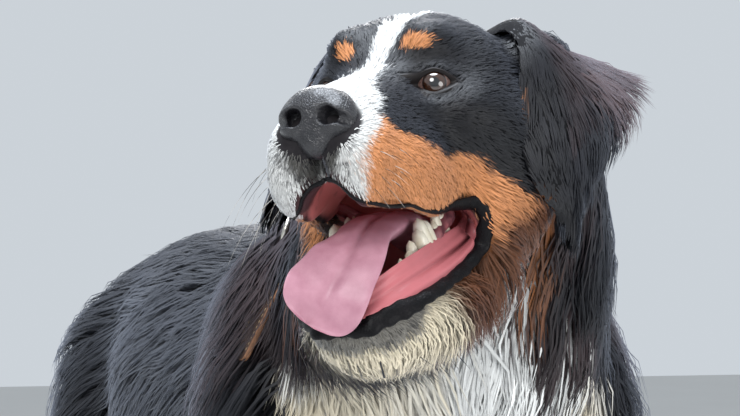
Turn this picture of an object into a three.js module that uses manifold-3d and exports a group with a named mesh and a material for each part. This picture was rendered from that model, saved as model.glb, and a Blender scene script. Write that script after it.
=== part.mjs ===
// A standing Bernese mountain dog at life size, its head turned to its right and its mouth open.
// Millimetres, +Z up. The dog looks along -Y, its left side is +X, and the floor is z = 0.
import * as THREE from "three";
import { mergeVertices } from "three/addons/utils/BufferGeometryUtils.js";
import Module from "manifold-3d";

const wasm = await Module();
wasm.setup();

// Driving dimensions of the body
const GAP = 0.3;
const WITHERS = 655;
const NECK_FOOT = [0, -222, 528];
const NECK_HEAD = [12, -366, 672];
const SHOULDER = { x: 97, y: -238, z: 470 };
const ELBOW = { x: 100, y: -195, z: 345 };
const CARPUS = { x: 98, y: -214, z: 168 };
const FRONT_PAW = { x: 98, y: -250 };
const HIP = { x: 78, y: 262, z: 520 };
const STIFLE = { x: 108, y: 208, z: 375 };
const HOCK = { x: 96, y: 392, z: 188 };
const HIND_PAW = { x: 96, y: 352 };
const TAIL_PATH = [
  [0, 352, 575],
  [0, 398, 505],
  [0, 424, 385],
  [4, 436, 275],
  [10, 462, 205],
];

// Driving dimensions of the head, in its own frame: x forward, y to its left, z up, from between the eyes
const EYES_MID = [-90, -470, 725];
const HEAD_HEADING = THREE.MathUtils.degToRad(-133.3);
const HEAD_PITCH = THREE.MathUtils.degToRad(-9);
const HEAD_ROLL = THREE.MathUtils.degToRad(4.1);
const EYE_R = 12.5;
const EYE_FRONT = { x: 5, y: 40, z: 0 };
const EYE_SPLAY = THREE.MathUtils.degToRad(27);
const NOSE = { x: 96, z: -37, halfWidth: 27, height: 38 };
const JAW_HINGE = [-85, 0, -45];
const JAW_OPEN = THREE.MathUtils.degToRad(41.2);
const JAW_LENGTH = 181;
const EAR_ROOT = { x: -88, y: 42, z: 38 };

// Vector helpers on plain arrays
const add = (a, b, s = 1) => [a[0] + b[0] * s, a[1] + b[1] * s, a[2] + b[2] * s];
const sub = (a, b) => add(a, b, -1);
const scale = (a, s) => [a[0] * s, a[1] * s, a[2] * s];
const dot = (a, b) => a[0] * b[0] + a[1] * b[1] + a[2] * b[2];
const cross = (a, b) => [
  a[1] * b[2] - a[2] * b[1],
  a[2] * b[0] - a[0] * b[2],
  a[0] * b[1] - a[1] * b[0],
];
const length = (a) => Math.hypot(...a);
const unit = (a) => scale(a, 1 / length(a));
const mix = (a, b, t) => a + (b - a) * t;
const mix3 = (a, b, t) => a.map((value, i) => mix(value, b[i], t));
const clamp = THREE.MathUtils.clamp;

// A smooth curve through [position, value] pairs, read at any position
function through(pairs) {
  const slope = (i) => {
    const a = pairs[Math.max(i - 1, 0)];
    const b = pairs[Math.min(i + 1, pairs.length - 1)];
    return (b[1] - a[1]) / (b[0] - a[0]);
  };
  return (at) => {
    if (at <= pairs[0][0]) return pairs[0][1];
    const end = pairs.findIndex((pair) => pair[0] >= at);
    if (end < 0) return pairs[pairs.length - 1][1];
    const [a, b] = [pairs[end - 1], pairs[end]];
    const span = b[0] - a[0];
    const t = (at - a[0]) / span;
    const [t2, t3] = [t * t, t * t * t];
    return (
      (2 * t3 - 3 * t2 + 1) * a[1] +
      (t3 - 2 * t2 + t) * span * slope(end - 1) +
      (3 * t2 - 2 * t3) * b[1] +
      (t3 - t2) * span * slope(end)
    );
  };
}

// Forms: each is a function of a point that is below zero inside and grows like the distance outside
const ellipsoid = (centre, radii) => (p) => {
  const q = sub(p, centre);
  const k = Math.hypot(q[0] / radii[0], q[1] / radii[1], q[2] / radii[2]);
  const g = Math.hypot(q[0] / radii[0] ** 2, q[1] / radii[1] ** 2, q[2] / radii[2] ** 2);
  return g < 1e-9 ? -Math.min(...radii) : (k * (k - 1)) / g;
};

const limb = (a, b, ra, rb) => {
  const ab = sub(b, a);
  const squared = dot(ab, ab);
  return (p) => {
    const t = clamp(dot(sub(p, a), ab) / squared, 0, 1);
    return length(sub(p, add(a, ab, t))) - mix(ra, rb, t);
  };
};

const limbs = (path, radii, soft) =>
  blend(
    path.slice(1).map((point, i) => limb(path[i], point, radii[i], radii[i + 1])),
    soft,
  );

function softMin(a, b, soft) {
  const h = Math.max(soft - Math.abs(a - b), 0) / soft;
  return Math.min(a, b) - (h * h * soft) / 4;
}

const blend = (forms, soft) => (p) =>
  forms.reduce((value, form) => softMin(value, form(p), soft), 1e3);

const carve = (form, cuts, soft) => (p) =>
  -cuts.reduce((value, cut) => softMin(value, cut(p), soft), -form(p));

const both = (make) => [make(1), make(-1)];

// A barrel along one axis (0 is x, 1 is y): top, bottom and half width are curves of the place along it
function barrel(axis, { top, bottom, half, from, to, roundTop, roundBottom }) {
  const across = 1 - axis;
  return (p) => {
    const at = clamp(p[axis], from, to);
    const [high, low, wide] = [top(at), bottom(at), half(at)];
    const [middle, tall] = [(high + low) / 2, (high - low) / 2];
    const [u, w] = [Math.abs(p[across]) / wide, (p[2] - middle) / tall];
    const n = w > 0 ? roundTop : roundBottom;
    const k = (u ** n + Math.abs(w) ** n) ** (1 / n);
    const side = (k - 1) * Math.min(wide, tall);
    const past = Math.abs(p[axis] - at);
    return past > 0 ? Math.hypot(Math.max(side, 0), past) + Math.min(side, 0) * 0.2 : side;
  };
}

// How a form grows round a point, the way out of it there, and the place on its surface next to a point
function slopeOf(form, p) {
  const step = 0.5;
  return [0, 1, 2].map((i) => {
    const q = [...p];
    q[i] += step;
    const high = form(q);
    q[i] -= 2 * step;
    return (high - form(q)) / (2 * step);
  });
}

const outward = (form, p) => unit(slopeOf(form, p));

function settle(form, p, share = 1) {
  const slope = slopeOf(form, p);
  const squared = Math.max(dot(slope, slope), 0.25);
  return add(p, slope, (-form(p) / squared) * share);
}

// How far along a ray the form's surface lies
function reachOf(form, from, way, far, grow = 0) {
  const step = 3;
  let inside = 0;
  while (inside < far && form(add(from, way, inside + step)) < grow) inside += step;
  let outside = inside + step;
  for (let i = 0; i < 12; i++) {
    const middle = (inside + outside) / 2;
    if (form(add(from, way, middle)) < grow) inside = middle;
    else outside = middle;
  }
  return inside;
}

// Solids
function solidOf(geometry) {
  geometry.deleteAttribute("normal");
  geometry.deleteAttribute("uv");
  const merged = mergeVertices(geometry, 1e-4);
  const triVerts = new Uint32Array(merged.index.array);
  const make = () =>
    new wasm.Manifold(
      new wasm.Mesh({
        numProp: 3,
        vertProperties: new Float32Array(merged.attributes.position.array),
        triVerts,
      }),
    );
  const made = make();
  if (made.volume() > 0) return made;
  for (let i = 0; i < triVerts.length; i += 3)
    [triVerts[i + 1], triVerts[i + 2]] = [triVerts[i + 2], triVerts[i + 1]];
  return make();
}

// A closed skin over rings of points that each have the same count, with a point at each end
function skin(rings, first, last) {
  const sides = rings[0].length;
  const positions = [...rings.flat(2), ...first, ...last];
  const [start, end] = [rings.length * sides, rings.length * sides + 1];
  const faces = [];
  for (let i = 0; i < sides; i++) {
    const next = (i + 1) % sides;
    faces.push(start, next, i);
    const mirror = Math.cos((2 * Math.PI * (i + 0.5)) / sides) < 0;
    for (let ring = 0; ring + 1 < rings.length; ring++) {
      const [a, b] = [ring * sides, (ring + 1) * sides];
      if (mirror) faces.push(a + i, a + next, b + i, a + next, b + next, b + i);
      else faces.push(a + i, a + next, b + next, a + i, b + next, b + i);
    }
    const top = (rings.length - 1) * sides;
    faces.push(end, top + i, top + next);
  }
  const geometry = new THREE.BufferGeometry();
  geometry.setAttribute("position", new THREE.Float32BufferAttribute(positions, 3));
  geometry.setIndex(faces);
  return solidOf(geometry);
}

// The form's own surface, found by rays in rings across a spine
function cast(form, { spine, across, up, stations, sides, far, grow = 0 }) {
  const places = Array.from({ length: stations }, (_, i) => {
    const t = (1 - Math.cos((Math.PI * (i + 1)) / (stations + 1))) / 2;
    return mix((i + 1) / (stations + 1), t, 0.6);
  });
  const rings = places.map((t) => {
    const middle = spine(t);
    const upward = up(t);
    return Array.from({ length: sides }, (_, i) => {
      const turn = (2 * Math.PI * i) / sides;
      const way = unit(add(scale(across(t), Math.cos(turn)), upward, Math.sin(turn)));
      return add(middle, way, Math.max(reachOf(form, middle, way, far, grow), 0.6));
    });
  });
  const tip = (t, other) => {
    const from = spine(t);
    const way = unit(sub(from, spine(other)));
    return add(from, way, reachOf(form, from, way, far, grow) + 0.1);
  };
  const [low, high] = [places[0], places[places.length - 1]];
  return skin(rings, tip(low, high * 0.2 + low * 0.8), tip(high, high * 0.8 + low * 0.2));
}

const straight = (a, b) => (t) => mix3(a, b, t);
const always = (value) => () => value;

// Rings straight along one axis, for a form that stands along y or x
const castAlong = (form, a, b, options) => {
  const way = unit(sub(b, a));
  const side = unit(cross(way, Math.abs(way[2]) > 0.9 ? [0, 1, 0] : [0, 0, 1]));
  return cast(form, {
    spine: straight(a, b),
    across: always(side),
    up: always(cross(side, way)),
    ...options,
  });
};

// Rings across a bent path
function castPath(form, path, options) {
  const curve = new THREE.CatmullRomCurve3(path.map((p) => new THREE.Vector3(...p)));
  const way = (t) => curve.getTangent(clamp(t, 0, 1)).toArray();
  const side = (t) => unit(cross(way(t), options.facing ?? [0, 1, 0.01]));
  return cast(form, {
    spine: (t) => curve.getPoint(clamp(t, 0, 1)).toArray(),
    across: side,
    up: (t) => cross(side(t), way(t)),
    ...options,
  });
}

const union = (solids) => wasm.Manifold.union(solids);
const largest = (solid) =>
  solid.decompose().reduce((best, piece) => (piece.volume() > best.volume() ? piece : best));
const without = (solid, cuts) => largest(cuts.reduce((rest, cut) => rest.subtract(cut), solid));
const boxOf = (centre, size) => solidOf(new THREE.BoxGeometry(...size).translate(...centre));
const egg = (centre, radii, round = 16, tall = 10) =>
  solidOf(
    new THREE.SphereGeometry(1, round, tall)
      .rotateX(Math.PI / 2)
      .scale(...radii)
      .translate(...centre),
  );

// Numbers between -1 and 1 that are the same on every run
function draws(seed) {
  let state = seed;
  return () => {
    state = (state * 16807) % 2147483647;
    return (state / 2147483647) * 2 - 1;
  };
}

// A flat tapered lock of coat. It is rooted under the form's surface at its seat, follows the form
// along its lie as far as it hugs it, sinks towards the floor by its sag, and lifts to its tip.
const ROOT_SINK = 13;
const LOCK_STEPS = 3;
const LOCK_WIDTHS = [0.72, 1, 0.74];
const LOCK_THICKS = [1, 1, 0.75];
const EDGE_GROWTH = 8;
const LOCK_CLEARANCE = 2.5;
function lock(form, size, grow) {
  const { seat, lie, long, wide, thick, lift, hug = 1, sag = 0.3, bend = 0, sink = ROOT_SINK } = size;
  let at = seat;
  let way = unit(lie);
  let out = outward(form, seat);
  const line = Array.from({ length: LOCK_STEPS + 1 }, (_, i) => {
    const share = i / LOCK_STEPS;
    const place = { at: add(at, out, mix(-sink, lift, Math.sqrt(share))), out };
    way = unit(add(add(way, [0, 0, -1], sag / LOCK_STEPS), cross(out, way), bend / LOCK_STEPS));
    const along = unit(sub(way, scale(out, dot(way, out) * hug)));
    at = settle(form, settle(form, add(at, along, long / LOCK_STEPS), hug), hug);
    out = unit(mix3(out, outward(form, at), hug));
    return place;
  });
  const rings = line.slice(0, LOCK_STEPS).map((place, i) => {
    const run = unit(sub(line[i + 1].at, place.at));
    const across = unit(cross(run, place.out));
    const up = cross(across, run);
    const w = (wide / 2) * LOCK_WIDTHS[i] + EDGE_GROWTH * grow;
    const t = thick * LOCK_THICKS[i] + grow;
    return [
      add(add(place.at, across, w), up, -grow),
      add(place.at, up, t),
      add(add(place.at, across, -w), up, -grow),
    ];
  });
  const run = (i) => unit(sub(line[i + 1].at, line[i].at));
  const root = add(line[0].at, run(0), -4 - grow);
  return skin(rings, root, add(line[LOCK_STEPS].at, run(LOCK_STEPS - 1), EDGE_GROWTH * grow));
}

const seatOn = (form, from, way, far = 260) =>
  add(from, unit(way), reachOf(form, from, unit(way), far));
const withLocks = (core, form, locks, grow) =>
  union([core, ...locks.map((one) => lock(form, one, grow * LOCK_CLEARANCE))]);

// Torso
const TORSO_FROM = -350;
const TORSO_TO = 370;
const torsoTop = through([
  [-350, 494], [-300, 588], [-230, WITHERS - 8], [-150, WITHERS - 10], [-40, 641],
  [80, 640], [180, 636], [260, 621], [325, 588], [356, 556], [370, 526],
]);
const torsoBottom = through([
  [-350, 440], [-300, 360], [-230, 318], [-150, 303], [-40, 305],
  [80, 326], [180, 366], [260, 405], [325, 440], [356, 470], [370, 498],
]);
const torsoHalf = through([
  [-350, 56], [-300, 114], [-230, 132], [-150, 138], [-40, 142],
  [80, 140], [180, 126], [260, 118], [325, 92], [356, 56], [370, 18],
]);

const torsoForm = blend(
  [
    barrel(1, {
      top: torsoTop,
      bottom: torsoBottom,
      half: torsoHalf,
      from: TORSO_FROM,
      to: TORSO_TO,
      roundTop: 2.1,
      roundBottom: 2.3,
    }),
    ...both((side) =>
      ellipsoid([side * SHOULDER.x, SHOULDER.y - 18, SHOULDER.z], [54, 78, 120]),
    ),
    ...both((side) => ellipsoid([side * HIP.x, HIP.y, HIP.z - 45], [58, 92, 105])),
  ],
  40,
);

// Rows of flank locks: angle round the barrel, the lie's fall, length, how far back the row starts and ends
const FLANK_ROWS = [
  { angle: 58, fall: 0.18, long: 175, from: -165, to: 250 },
  { angle: 14, fall: 0.5, long: 185, from: -185, to: 215 },
  { angle: -32, fall: 1, long: 160, from: -130, to: 150 },
];
const FLANK_STEP = 104;
const BELLY_ROW = { angle: -66, long: 105, from: -235, to: 120, step: 84 };

function torsoLocks() {
  const draw = draws(15);
  const locks = [];
  const place = (side, y, angle, size) => {
    const turn = THREE.MathUtils.degToRad(angle);
    const way = [side * Math.cos(turn), 0, Math.sin(turn)];
    locks.push({
      seat: seatOn(torsoForm, [0, y, 480], way),
      thick: 8,
      lift: 15,
      bend: 0.25 * draw(),
      ...size,
    });
  };
  for (const side of [1, -1]) {
    FLANK_ROWS.forEach(({ angle, fall, long, from, to }, row) => {
      for (let y = from + (row % 2) * 40; y <= to; y += FLANK_STEP)
        place(side, y + 12 * draw(), angle + 5 * draw(), {
          lie: [0, 1, -fall],
          long: long * (1 + 0.12 * draw()),
          wide: 116,
        });
    });
    for (let y = BELLY_ROW.from; y <= BELLY_ROW.to; y += BELLY_ROW.step)
      place(side, y + 8 * draw(), BELLY_ROW.angle, {
        lie: [0, 0.7, -1],
        long: BELLY_ROW.long * (1 + 0.15 * draw()),
        wide: 84,
        hug: 0.35,
        sag: 0.5,
      });
  }
  return locks;
}

const torso = (grow) =>
  withLocks(
    castAlong(torsoForm, [0, TORSO_FROM - 14, 465], [0, TORSO_TO + 6, 508], {
      stations: 16,
      sides: 18,
      far: 260,
      grow,
    }),
    torsoForm,
    torsoLocks(),
    grow,
  );

// Neck
const neckForm = blend(
  [
    limb(NECK_FOOT, NECK_HEAD, 132, 76),
    ellipsoid([-4, -322, 500], [100, 60, 100]),
    ellipsoid([-4, -356, 590], [80, 50, 80]),
  ],
  50,
);

const neckWay = unit(sub(NECK_HEAD, NECK_FOOT));
const neckSide = unit(cross(neckWay, [0, 1, 0]));
const neckUp = cross(neckSide, neckWay);
const frontForm = blend([neckForm, torsoForm], 30);

// Rings of ruff locks: place along the neck, length, count round it and how far they lift
const RUFF_RINGS = [
  { at: 0.86, long: 135, count: 6, wide: 98, lift: 21, turn: 0.12 },
  { at: 0.34, long: 150, count: 7, wide: 112, lift: 17, turn: 0 },
];
const BIB_ROWS = [
  { z: 560, angles: [-44, -14, 16, 46], long: 150, lift: 24 },
  { z: 505, angles: [-58, -29, 0, 29, 58], long: 165, lift: 20 },
];

function neckLocks() {
  const draw = draws(23);
  const rings = RUFF_RINGS.flatMap(({ at, long, count, wide, lift, turn }) =>
    Array.from({ length: count }, (_, i) => {
      const angle = (2 * Math.PI * (i + turn + 0.12 * draw())) / count;
      const way = add(scale(neckSide, Math.cos(angle)), neckUp, Math.sin(angle));
      return {
        seat: seatOn(frontForm, mix3(NECK_FOOT, NECK_HEAD, at), way),
        lie: scale(neckWay, -1),
        long: long * (1 + 0.1 * draw()),
        wide,
        thick: 8,
        lift,
        bend: 0.2 * draw(),
      };
    }),
  );
  const bib = BIB_ROWS.flatMap(({ z, angles, long, lift }) =>
    angles.map((angle) => {
      const turn = THREE.MathUtils.degToRad(angle + 4 * draw());
      return {
        seat: seatOn(frontForm, [0, -270, z], [Math.sin(turn), -Math.cos(turn), 0]),
        lie: [0.1 * draw(), -0.1, -1],
        long: long * (1 + 0.12 * draw()),
        wide: 66,
        thick: 8,
        lift,
        hug: 0.8,
        bend: 0.4 * draw(),
      };
    }),
  );
  return [...rings, ...bib];
}

const neck = (grow) =>
  withLocks(
    castAlong(neckForm, [0, -262, 410], [12, -348, 722], {
      stations: 10,
      sides: 18,
      far: 230,
      grow,
    }),
    frontForm,
    neckLocks(),
    grow,
  );

// Legs
const FLOOR_CUT = boxOf([0, 0, -100], [1200, 1600, 200]);

function pawForm(side, paw, half) {
  const toes = [-1.12, -0.4, 0.4, 1.12].map((place) =>
    ellipsoid(
      [side * paw.x + place * half * 0.56, paw.y - 26 + Math.abs(place) * 12, 20],
      [half * 0.33, 32, 24],
    ),
  );
  return blend([...toes, ellipsoid([side * paw.x, paw.y + 14, 22], [half * 0.86, 40, 26])], 5);
}

const foreForm = (side) =>
  blend(
    [
      limbs(
        [
          [side * SHOULDER.x, SHOULDER.y + 20, SHOULDER.z - 30],
          [side * ELBOW.x, ELBOW.y, ELBOW.z],
          [side * (CARPUS.x + 1), CARPUS.y, CARPUS.z],
          [side * FRONT_PAW.x, CARPUS.y - 18, 62],
          [side * FRONT_PAW.x, FRONT_PAW.y + 16, 34],
        ],
        [60, 44, 31, 29, 30],
        14,
      ),
      pawForm(side, FRONT_PAW, 45),
    ],
    12,
  );

const hindForm = (side) =>
  blend(
    [
      ellipsoid([side * (HIP.x + 14), HIP.y - 10, HIP.z - 80], [58, 88, 118]),
      limbs(
        [
          [side * (STIFLE.x - 4), STIFLE.y + 26, STIFLE.z + 12],
          [side * HOCK.x, HOCK.y - 8, HOCK.z],
          [side * HIND_PAW.x, HOCK.y - 14, 70],
          [side * HIND_PAW.x, HIND_PAW.y + 14, 34],
        ],
        [62, 29, 27, 27],
        14,
      ),
      pawForm(side, HIND_PAW, 42),
    ],
    24,
  );

// Feathering down the back of the foreleg, from the elbow to the pastern
function foreLocks(side) {
  const draw = draws(side > 0 ? 37 : 41);
  return Array.from({ length: 6 }, (_, i) => {
    const z = mix(ELBOW.z + 12, CARPUS.z + 34, i / 5);
    const x = ELBOW.x - 1 + (i % 2 ? 12 : -8) * side;
    const from = [side * x, mix(ELBOW.y, CARPUS.y, i / 5), z];
    return {
      seat: seatOn(foreForm(side), from, [0.25 * draw(), 1, 0], 90),
      lie: [0.12 * draw(), 0.75, -1],
      long: mix(92, 58, i / 5) * (1 + 0.12 * draw()),
      wide: mix(48, 36, i / 5),
      thick: 6,
      lift: 8,
      hug: 0.1,
      sag: 0.6,
    };
  });
}

const foreleg = (side, grow) =>
  union([
    ...foreLocks(side).map((one) => lock(foreForm(side), one, grow)),
    castPath(
      foreForm(side),
      [
        [side * SHOULDER.x, SHOULDER.y + 20, SHOULDER.z - 20],
        [side * ELBOW.x, ELBOW.y + 2, ELBOW.z],
        [side * CARPUS.x, CARPUS.y, CARPUS.z],
        [side * FRONT_PAW.x, CARPUS.y - 20, 44],
      ],
      { stations: 9, sides: 12, far: 90, grow },
    ),
    castAlong(
      pawForm(side, FRONT_PAW, 45),
      [side * FRONT_PAW.x, FRONT_PAW.y + 50, 20],
      [side * FRONT_PAW.x, FRONT_PAW.y - 56, 17],
      { stations: 7, sides: 16, far: 60, grow },
    ),
  ]);

// Breeches: rows down the back and the outside of the thigh
function hindLocks(side) {
  const draw = draws(side > 0 ? 53 : 59);
  const back = Array.from({ length: 7 }, (_, i) => {
    const share = i / 6;
    const y = mix(HIP.y, HOCK.y - 20, share);
    const from = [side * mix(HIP.x + 6, HOCK.x, share), y, mix(468, 246, share)];
    return {
      seat: seatOn(hindForm(side), from, [side * (i % 2 ? 0.5 : -0.35), 1, 0], 140),
      lie: [0.1 * draw(), 0.55, -1],
      long: mix(120, 62, share) * (1 + 0.1 * draw()),
      wide: mix(64, 36, share),
      thick: 7,
      lift: 12,
      hug: 0.25,
      sag: 0.5,
    };
  });
  const outside = [
    [-36, 455], [36, 440], [-6, 385],
  ].map(([dy, z]) => ({
    seat: seatOn(hindForm(side), [side * HIP.x, HIP.y + dy, z], [side, 0, 0], 140),
    lie: [0, 0.55, -1],
    long: 120 * (1 + 0.1 * draw()),
    wide: 76,
    thick: 8,
    lift: 12,
  }));
  return [...back, ...outside];
}

// The hind leg is parted at the hock by a level cut
const HOCK_CUT = HOCK.z - 42;
const aboveHock = boxOf([0, HOCK.y, HOCK_CUT - GAP / 2 + 250], [500, 600, 500]);
const belowHock = boxOf([0, HOCK.y, HOCK_CUT + GAP / 2 - 250], [500, 600, 500]);
const hindleg = (side, grow) =>
  union([
    ...hindLocks(side).map((one) => lock(hindForm(side), one, grow)),
    castPath(
      hindForm(side),
      [
        [side * (HIP.x + 12), HIP.y - 16, HIP.z - 10],
        [side * (STIFLE.x - 4), STIFLE.y + 36, STIFLE.z],
        [side * HOCK.x, HOCK.y - 14, HOCK.z + 6],
        [side * HIND_PAW.x, HOCK.y - 14, 90],
        [side * HIND_PAW.x, HIND_PAW.y + 18, 40],
      ],
      { stations: 12, sides: 12, far: 150, grow },
    ),
    castAlong(
      pawForm(side, HIND_PAW, 42),
      [side * HIND_PAW.x, HIND_PAW.y + 50, 20],
      [side * HIND_PAW.x, HIND_PAW.y - 56, 17],
      { stations: 7, sides: 16, far: 60, grow },
    ),
  ]);

// Tail
const tailForm = limbs(TAIL_PATH, [38, 34, 32, 28, 15], 30);
// The plume: rings of long locks down the tail that part to both sides and to the back
function tailLocks() {
  const draw = draws(71);
  const curve = new THREE.CatmullRomCurve3(TAIL_PATH.map((p) => new THREE.Vector3(...p)));
  const rings = [0.16, 0.4, 0.64, 0.86];
  return rings.flatMap((t, row) =>
    [0, 1, 2, 3].map((i) => {
      const middle = curve.getPoint(t).toArray();
      const run = curve.getTangent(t).toArray();
      const turn = (Math.PI / 2) * (i + (row % 2) / 2) + 0.2 * draw();
      return {
        seat: seatOn(tailForm, middle, [Math.cos(turn), Math.sin(turn), 0], 90),
        lie: add(run, [Math.cos(turn), Math.sin(turn), 0], 0.3),
        long: mix(150, 105, t) * (1 + 0.1 * draw()),
        wide: 62,
        thick: 7,
        lift: 12,
        hug: 0.45,
        sag: 0.3,
      };
    }),
  );
}

const tail = (grow) =>
  withLocks(
    castPath(tailForm, TAIL_PATH, { stations: 8, sides: 10, far: 90, grow, facing: [1, 0, 0.01] }),
    tailForm,
    tailLocks(),
    grow,
  );

// Head, in its own frame
const HEAD_FROM = -134;
const HEAD_TO = 95;
const headTop = through([
  [-134, 24], [-118, 41], [-92, 56], [-62, 62], [-36, 59], [-14, 48],
  [4, 28], [22, 11], [44, 3], [66, -4], [84, -13], [95, -30],
]);
const headBottom = through([
  [-134, -40], [-118, -62], [-92, -74], [-62, -80], [-30, -78],
  [4, -76], [44, -76], [68, -78], [86, -76], [95, -68],
]);
const headHalf = through([
  [-134, 46], [-118, 63], [-92, 76], [-62, 79], [-36, 74], [-14, 63],
  [4, 51], [22, 45], [44, 42], [66, 40], [84, 33], [95, 20],
]);

const eyeAxis = (side) => [Math.cos(EYE_SPLAY), side * Math.sin(EYE_SPLAY), 0];
const eyeCentre = (side) =>
  add([EYE_FRONT.x, side * EYE_FRONT.y, EYE_FRONT.z], eyeAxis(side), -EYE_R);

const headForm = carve(
  blend(
    [
      barrel(0, {
        top: headTop,
        bottom: headBottom,
        half: headHalf,
        from: HEAD_FROM,
        to: HEAD_TO,
        roundTop: 1.85,
        roundBottom: 2.5,
      }),
      ...both((side) => ellipsoid([-13, side * 27, 28], [22, 17, 17])),
      ...both((side) => ellipsoid([-36, side * 55, -20], [44, 24, 26])),
      ...both((side) => ellipsoid([-78, side * 52, -50], [46, 31, 50])),
      ...both((side) => ellipsoid([56, side * 28, -66], [40, 13, 30])),
      ...both((side) => ellipsoid([14, side * 40, -62], [44, 13, 28])),
      ...both((side) => ellipsoid([76, side * 18, -56], [21, 19, 23])),
    ],
    16,
  ),
  [
    ...both((side) => ellipsoid(add(eyeCentre(side), eyeAxis(side), 22), [17, 17, 13])),
    ellipsoid([96, 0, -80], [16, 3.5, 22]),
    ellipsoid([-6, 0, 58], [34, 7, 12]),
  ],
  8,
);

const MOUTH_ROOF = -54;
function mouth(grow) {
  const form = blend(
    [
      ellipsoid([46, 0, -92], [46, 25, 92 + MOUTH_ROOF]),
      ellipsoid([2, 0, -96], [52, 33, 96 + MOUTH_ROOF]),
      ellipsoid([-28, 0, -98], [34, 40, 40]),
    ],
    16,
  );
  return castAlong(form, [-64, 0, -96], [96, 0, -92], { stations: 10, sides: 14, far: 70, grow });
}

const eye = (side, grow) => egg(eyeCentre(side), Array(3).fill(EYE_R + grow), 12, 8);

// An almond ring of lid skin round the eyeball
function lids(side, grow) {
  const [count, section] = [14, 5];
  const axis = eyeAxis(side);
  const right = unit(cross(axis, [0, 0, 1]));
  const upward = cross(right, axis);
  const [wide, high, thick] = [12.6, 8.6, 2.6 + grow];
  const rings = Array.from({ length: count }, (_, i) => {
    const turn = (2 * Math.PI * i) / count;
    const out = unit(add(scale(right, Math.cos(turn)), upward, Math.sin(turn)));
    const flat = add(
      scale(right, wide * Math.cos(turn)),
      upward,
      high * Math.sin(turn) * (1 + 0.12 * Math.cos(2 * turn)),
    );
    const depth = Math.sqrt(Math.max((EYE_R + 1) ** 2 - dot(flat, flat), 4));
    const middle = add(add(eyeCentre(side), flat), axis, depth);
    return Array.from({ length: section }, (_, j) => {
      const round = (2 * Math.PI * j) / section;
      return add(add(middle, out, thick * Math.cos(round)), axis, thick * Math.sin(round));
    });
  });
  const faces = [];
  for (let i = 0; i < count; i++)
    for (let j = 0; j < section; j++) {
      const [a, b] = [i * section, ((i + 1) % count) * section];
      const k = (j + 1) % section;
      faces.push(a + j, a + k, b + k, a + j, b + k, b + j);
    }
  const geometry = new THREE.BufferGeometry();
  geometry.setAttribute("position", new THREE.Float32BufferAttribute(rings.flat(2), 3));
  geometry.setIndex(faces);
  return solidOf(geometry);
}

function headShell(grow) {
  const spine = through([[0, -4], [0.3, -8], [0.6, -22], [1, -42]]);
  return cast(headForm, {
    spine: (t) => [mix(HEAD_FROM - 6, HEAD_TO + 2, t), 0, spine(t)],
    across: always([0, 1, 0]),
    up: always([0, 0, 1]),
    stations: 23,
    sides: 28,
    far: 150,
    grow,
  });
}

function head(grow) {
  const whole = union([headShell(grow), lids(1, grow), lids(-1, grow)]);
  return without(whole, [
    eye(1, GAP - grow),
    eye(-1, GAP - grow),
    nose(GAP - grow),
    mouth(-grow),
  ]);
}

// Nose leather with its two nostrils
function nose(grow) {
  const form = carve(
    blend(
      [
        ellipsoid([NOSE.x - 7, 0, NOSE.z + 2], [17, NOSE.halfWidth - 3, NOSE.height / 2]),
        ...both((side) => ellipsoid([NOSE.x - 5, side * 14, NOSE.z], [16, 12, 13])),
        ellipsoid([NOSE.x - 4, 0, NOSE.z - 13], [13, 8, 13]),
      ],
      6,
    ),
    [
      ...both((side) => ellipsoid([NOSE.x + 11, side * 13, NOSE.z], [9, 5, 5])),
      ...both((side) => ellipsoid([NOSE.x + 2, side * 24, NOSE.z - 4], [10, 5, 2.5])),
      ellipsoid([NOSE.x + 14, 0, NOSE.z - 12], [6, 2, 12]),
    ],
    2,
  );
  return castAlong(form, [NOSE.x - 28, 0, NOSE.z], [NOSE.x + 14, 0, NOSE.z], {
    stations: 11,
    sides: 24,
    far: 40,
    grow,
  });
}

// Lower jaw, in the frame of its hinge: x along the jaw, z up, then swung open
const jawPlace = new THREE.Matrix4()
  .makeTranslation(...JAW_HINGE)
  .multiply(new THREE.Matrix4().makeRotationY(JAW_OPEN));
const jawTop = through([[0, 20], [30, 2], [54, -12], [88, -9], [137, 1], [164, 8], [181, 2]]);
const jawBottom = through([[0, -48], [54, -56], [100, -50], [140, -39], [168, -30], [181, -14]]);
const jawHalf = through([[0, 60], [54, 53], [88, 50], [137, 46], [160, 38], [174, 26], [181, 15]]);
const jawForm = barrel(0, {
  top: jawTop,
  bottom: jawBottom,
  half: jawHalf,
  from: 0,
  to: JAW_LENGTH,
  roundTop: 3,
  roundBottom: 2.2,
});
const jawFloor = blend(
  [ellipsoid([60, 0, 14], [52, 40, 34]), ellipsoid([125, 0, 20], [48, 34, 30])],
  14,
);

// Teeth of the lower jaw: place along the jaw, half gap between the rows, height and half length
const LOWER_TEETH = [
  [160, 19, 20, 5.5],
  [143, 27, 9, 4.5],
  [131, 31, 11, 5.5],
  [117, 34, 13, 6.5],
  [101, 36, 15, 8.5],
  [84, 37, 10, 6],
];

function tooth([x, y, tall, half], side, grow) {
  const foot = jawTop(x) - 14;
  const cone = new THREE.CylinderGeometry(half * 0.28 + grow, half + grow, tall + 16, 5)
    .rotateX(Math.PI / 2)
    .scale(1, 0.72, 1)
    .translate(x, side * y, foot + (tall + 16) / 2);
  return solidOf(cone);
}

const jawShell = (grow) =>
  castAlong(jawForm, [-8, 0, -18], [JAW_LENGTH + 4, 0, -8], {
    stations: 14,
    sides: 20,
    far: 90,
    grow,
  });

function lowerJaw(grow) {
  const floor = castAlong(jawFloor, [10, 0, 12], [172, 0, 18], {
    stations: 9,
    sides: 14,
    far: 60,
    grow: -grow,
  });
  const teeth = LOWER_TEETH.flatMap((size) => both((side) => tooth(size, side, grow)));
  return union([jawShell(grow).subtract(floor), ...teeth]).transform(jawPlace.elements);
}

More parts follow.
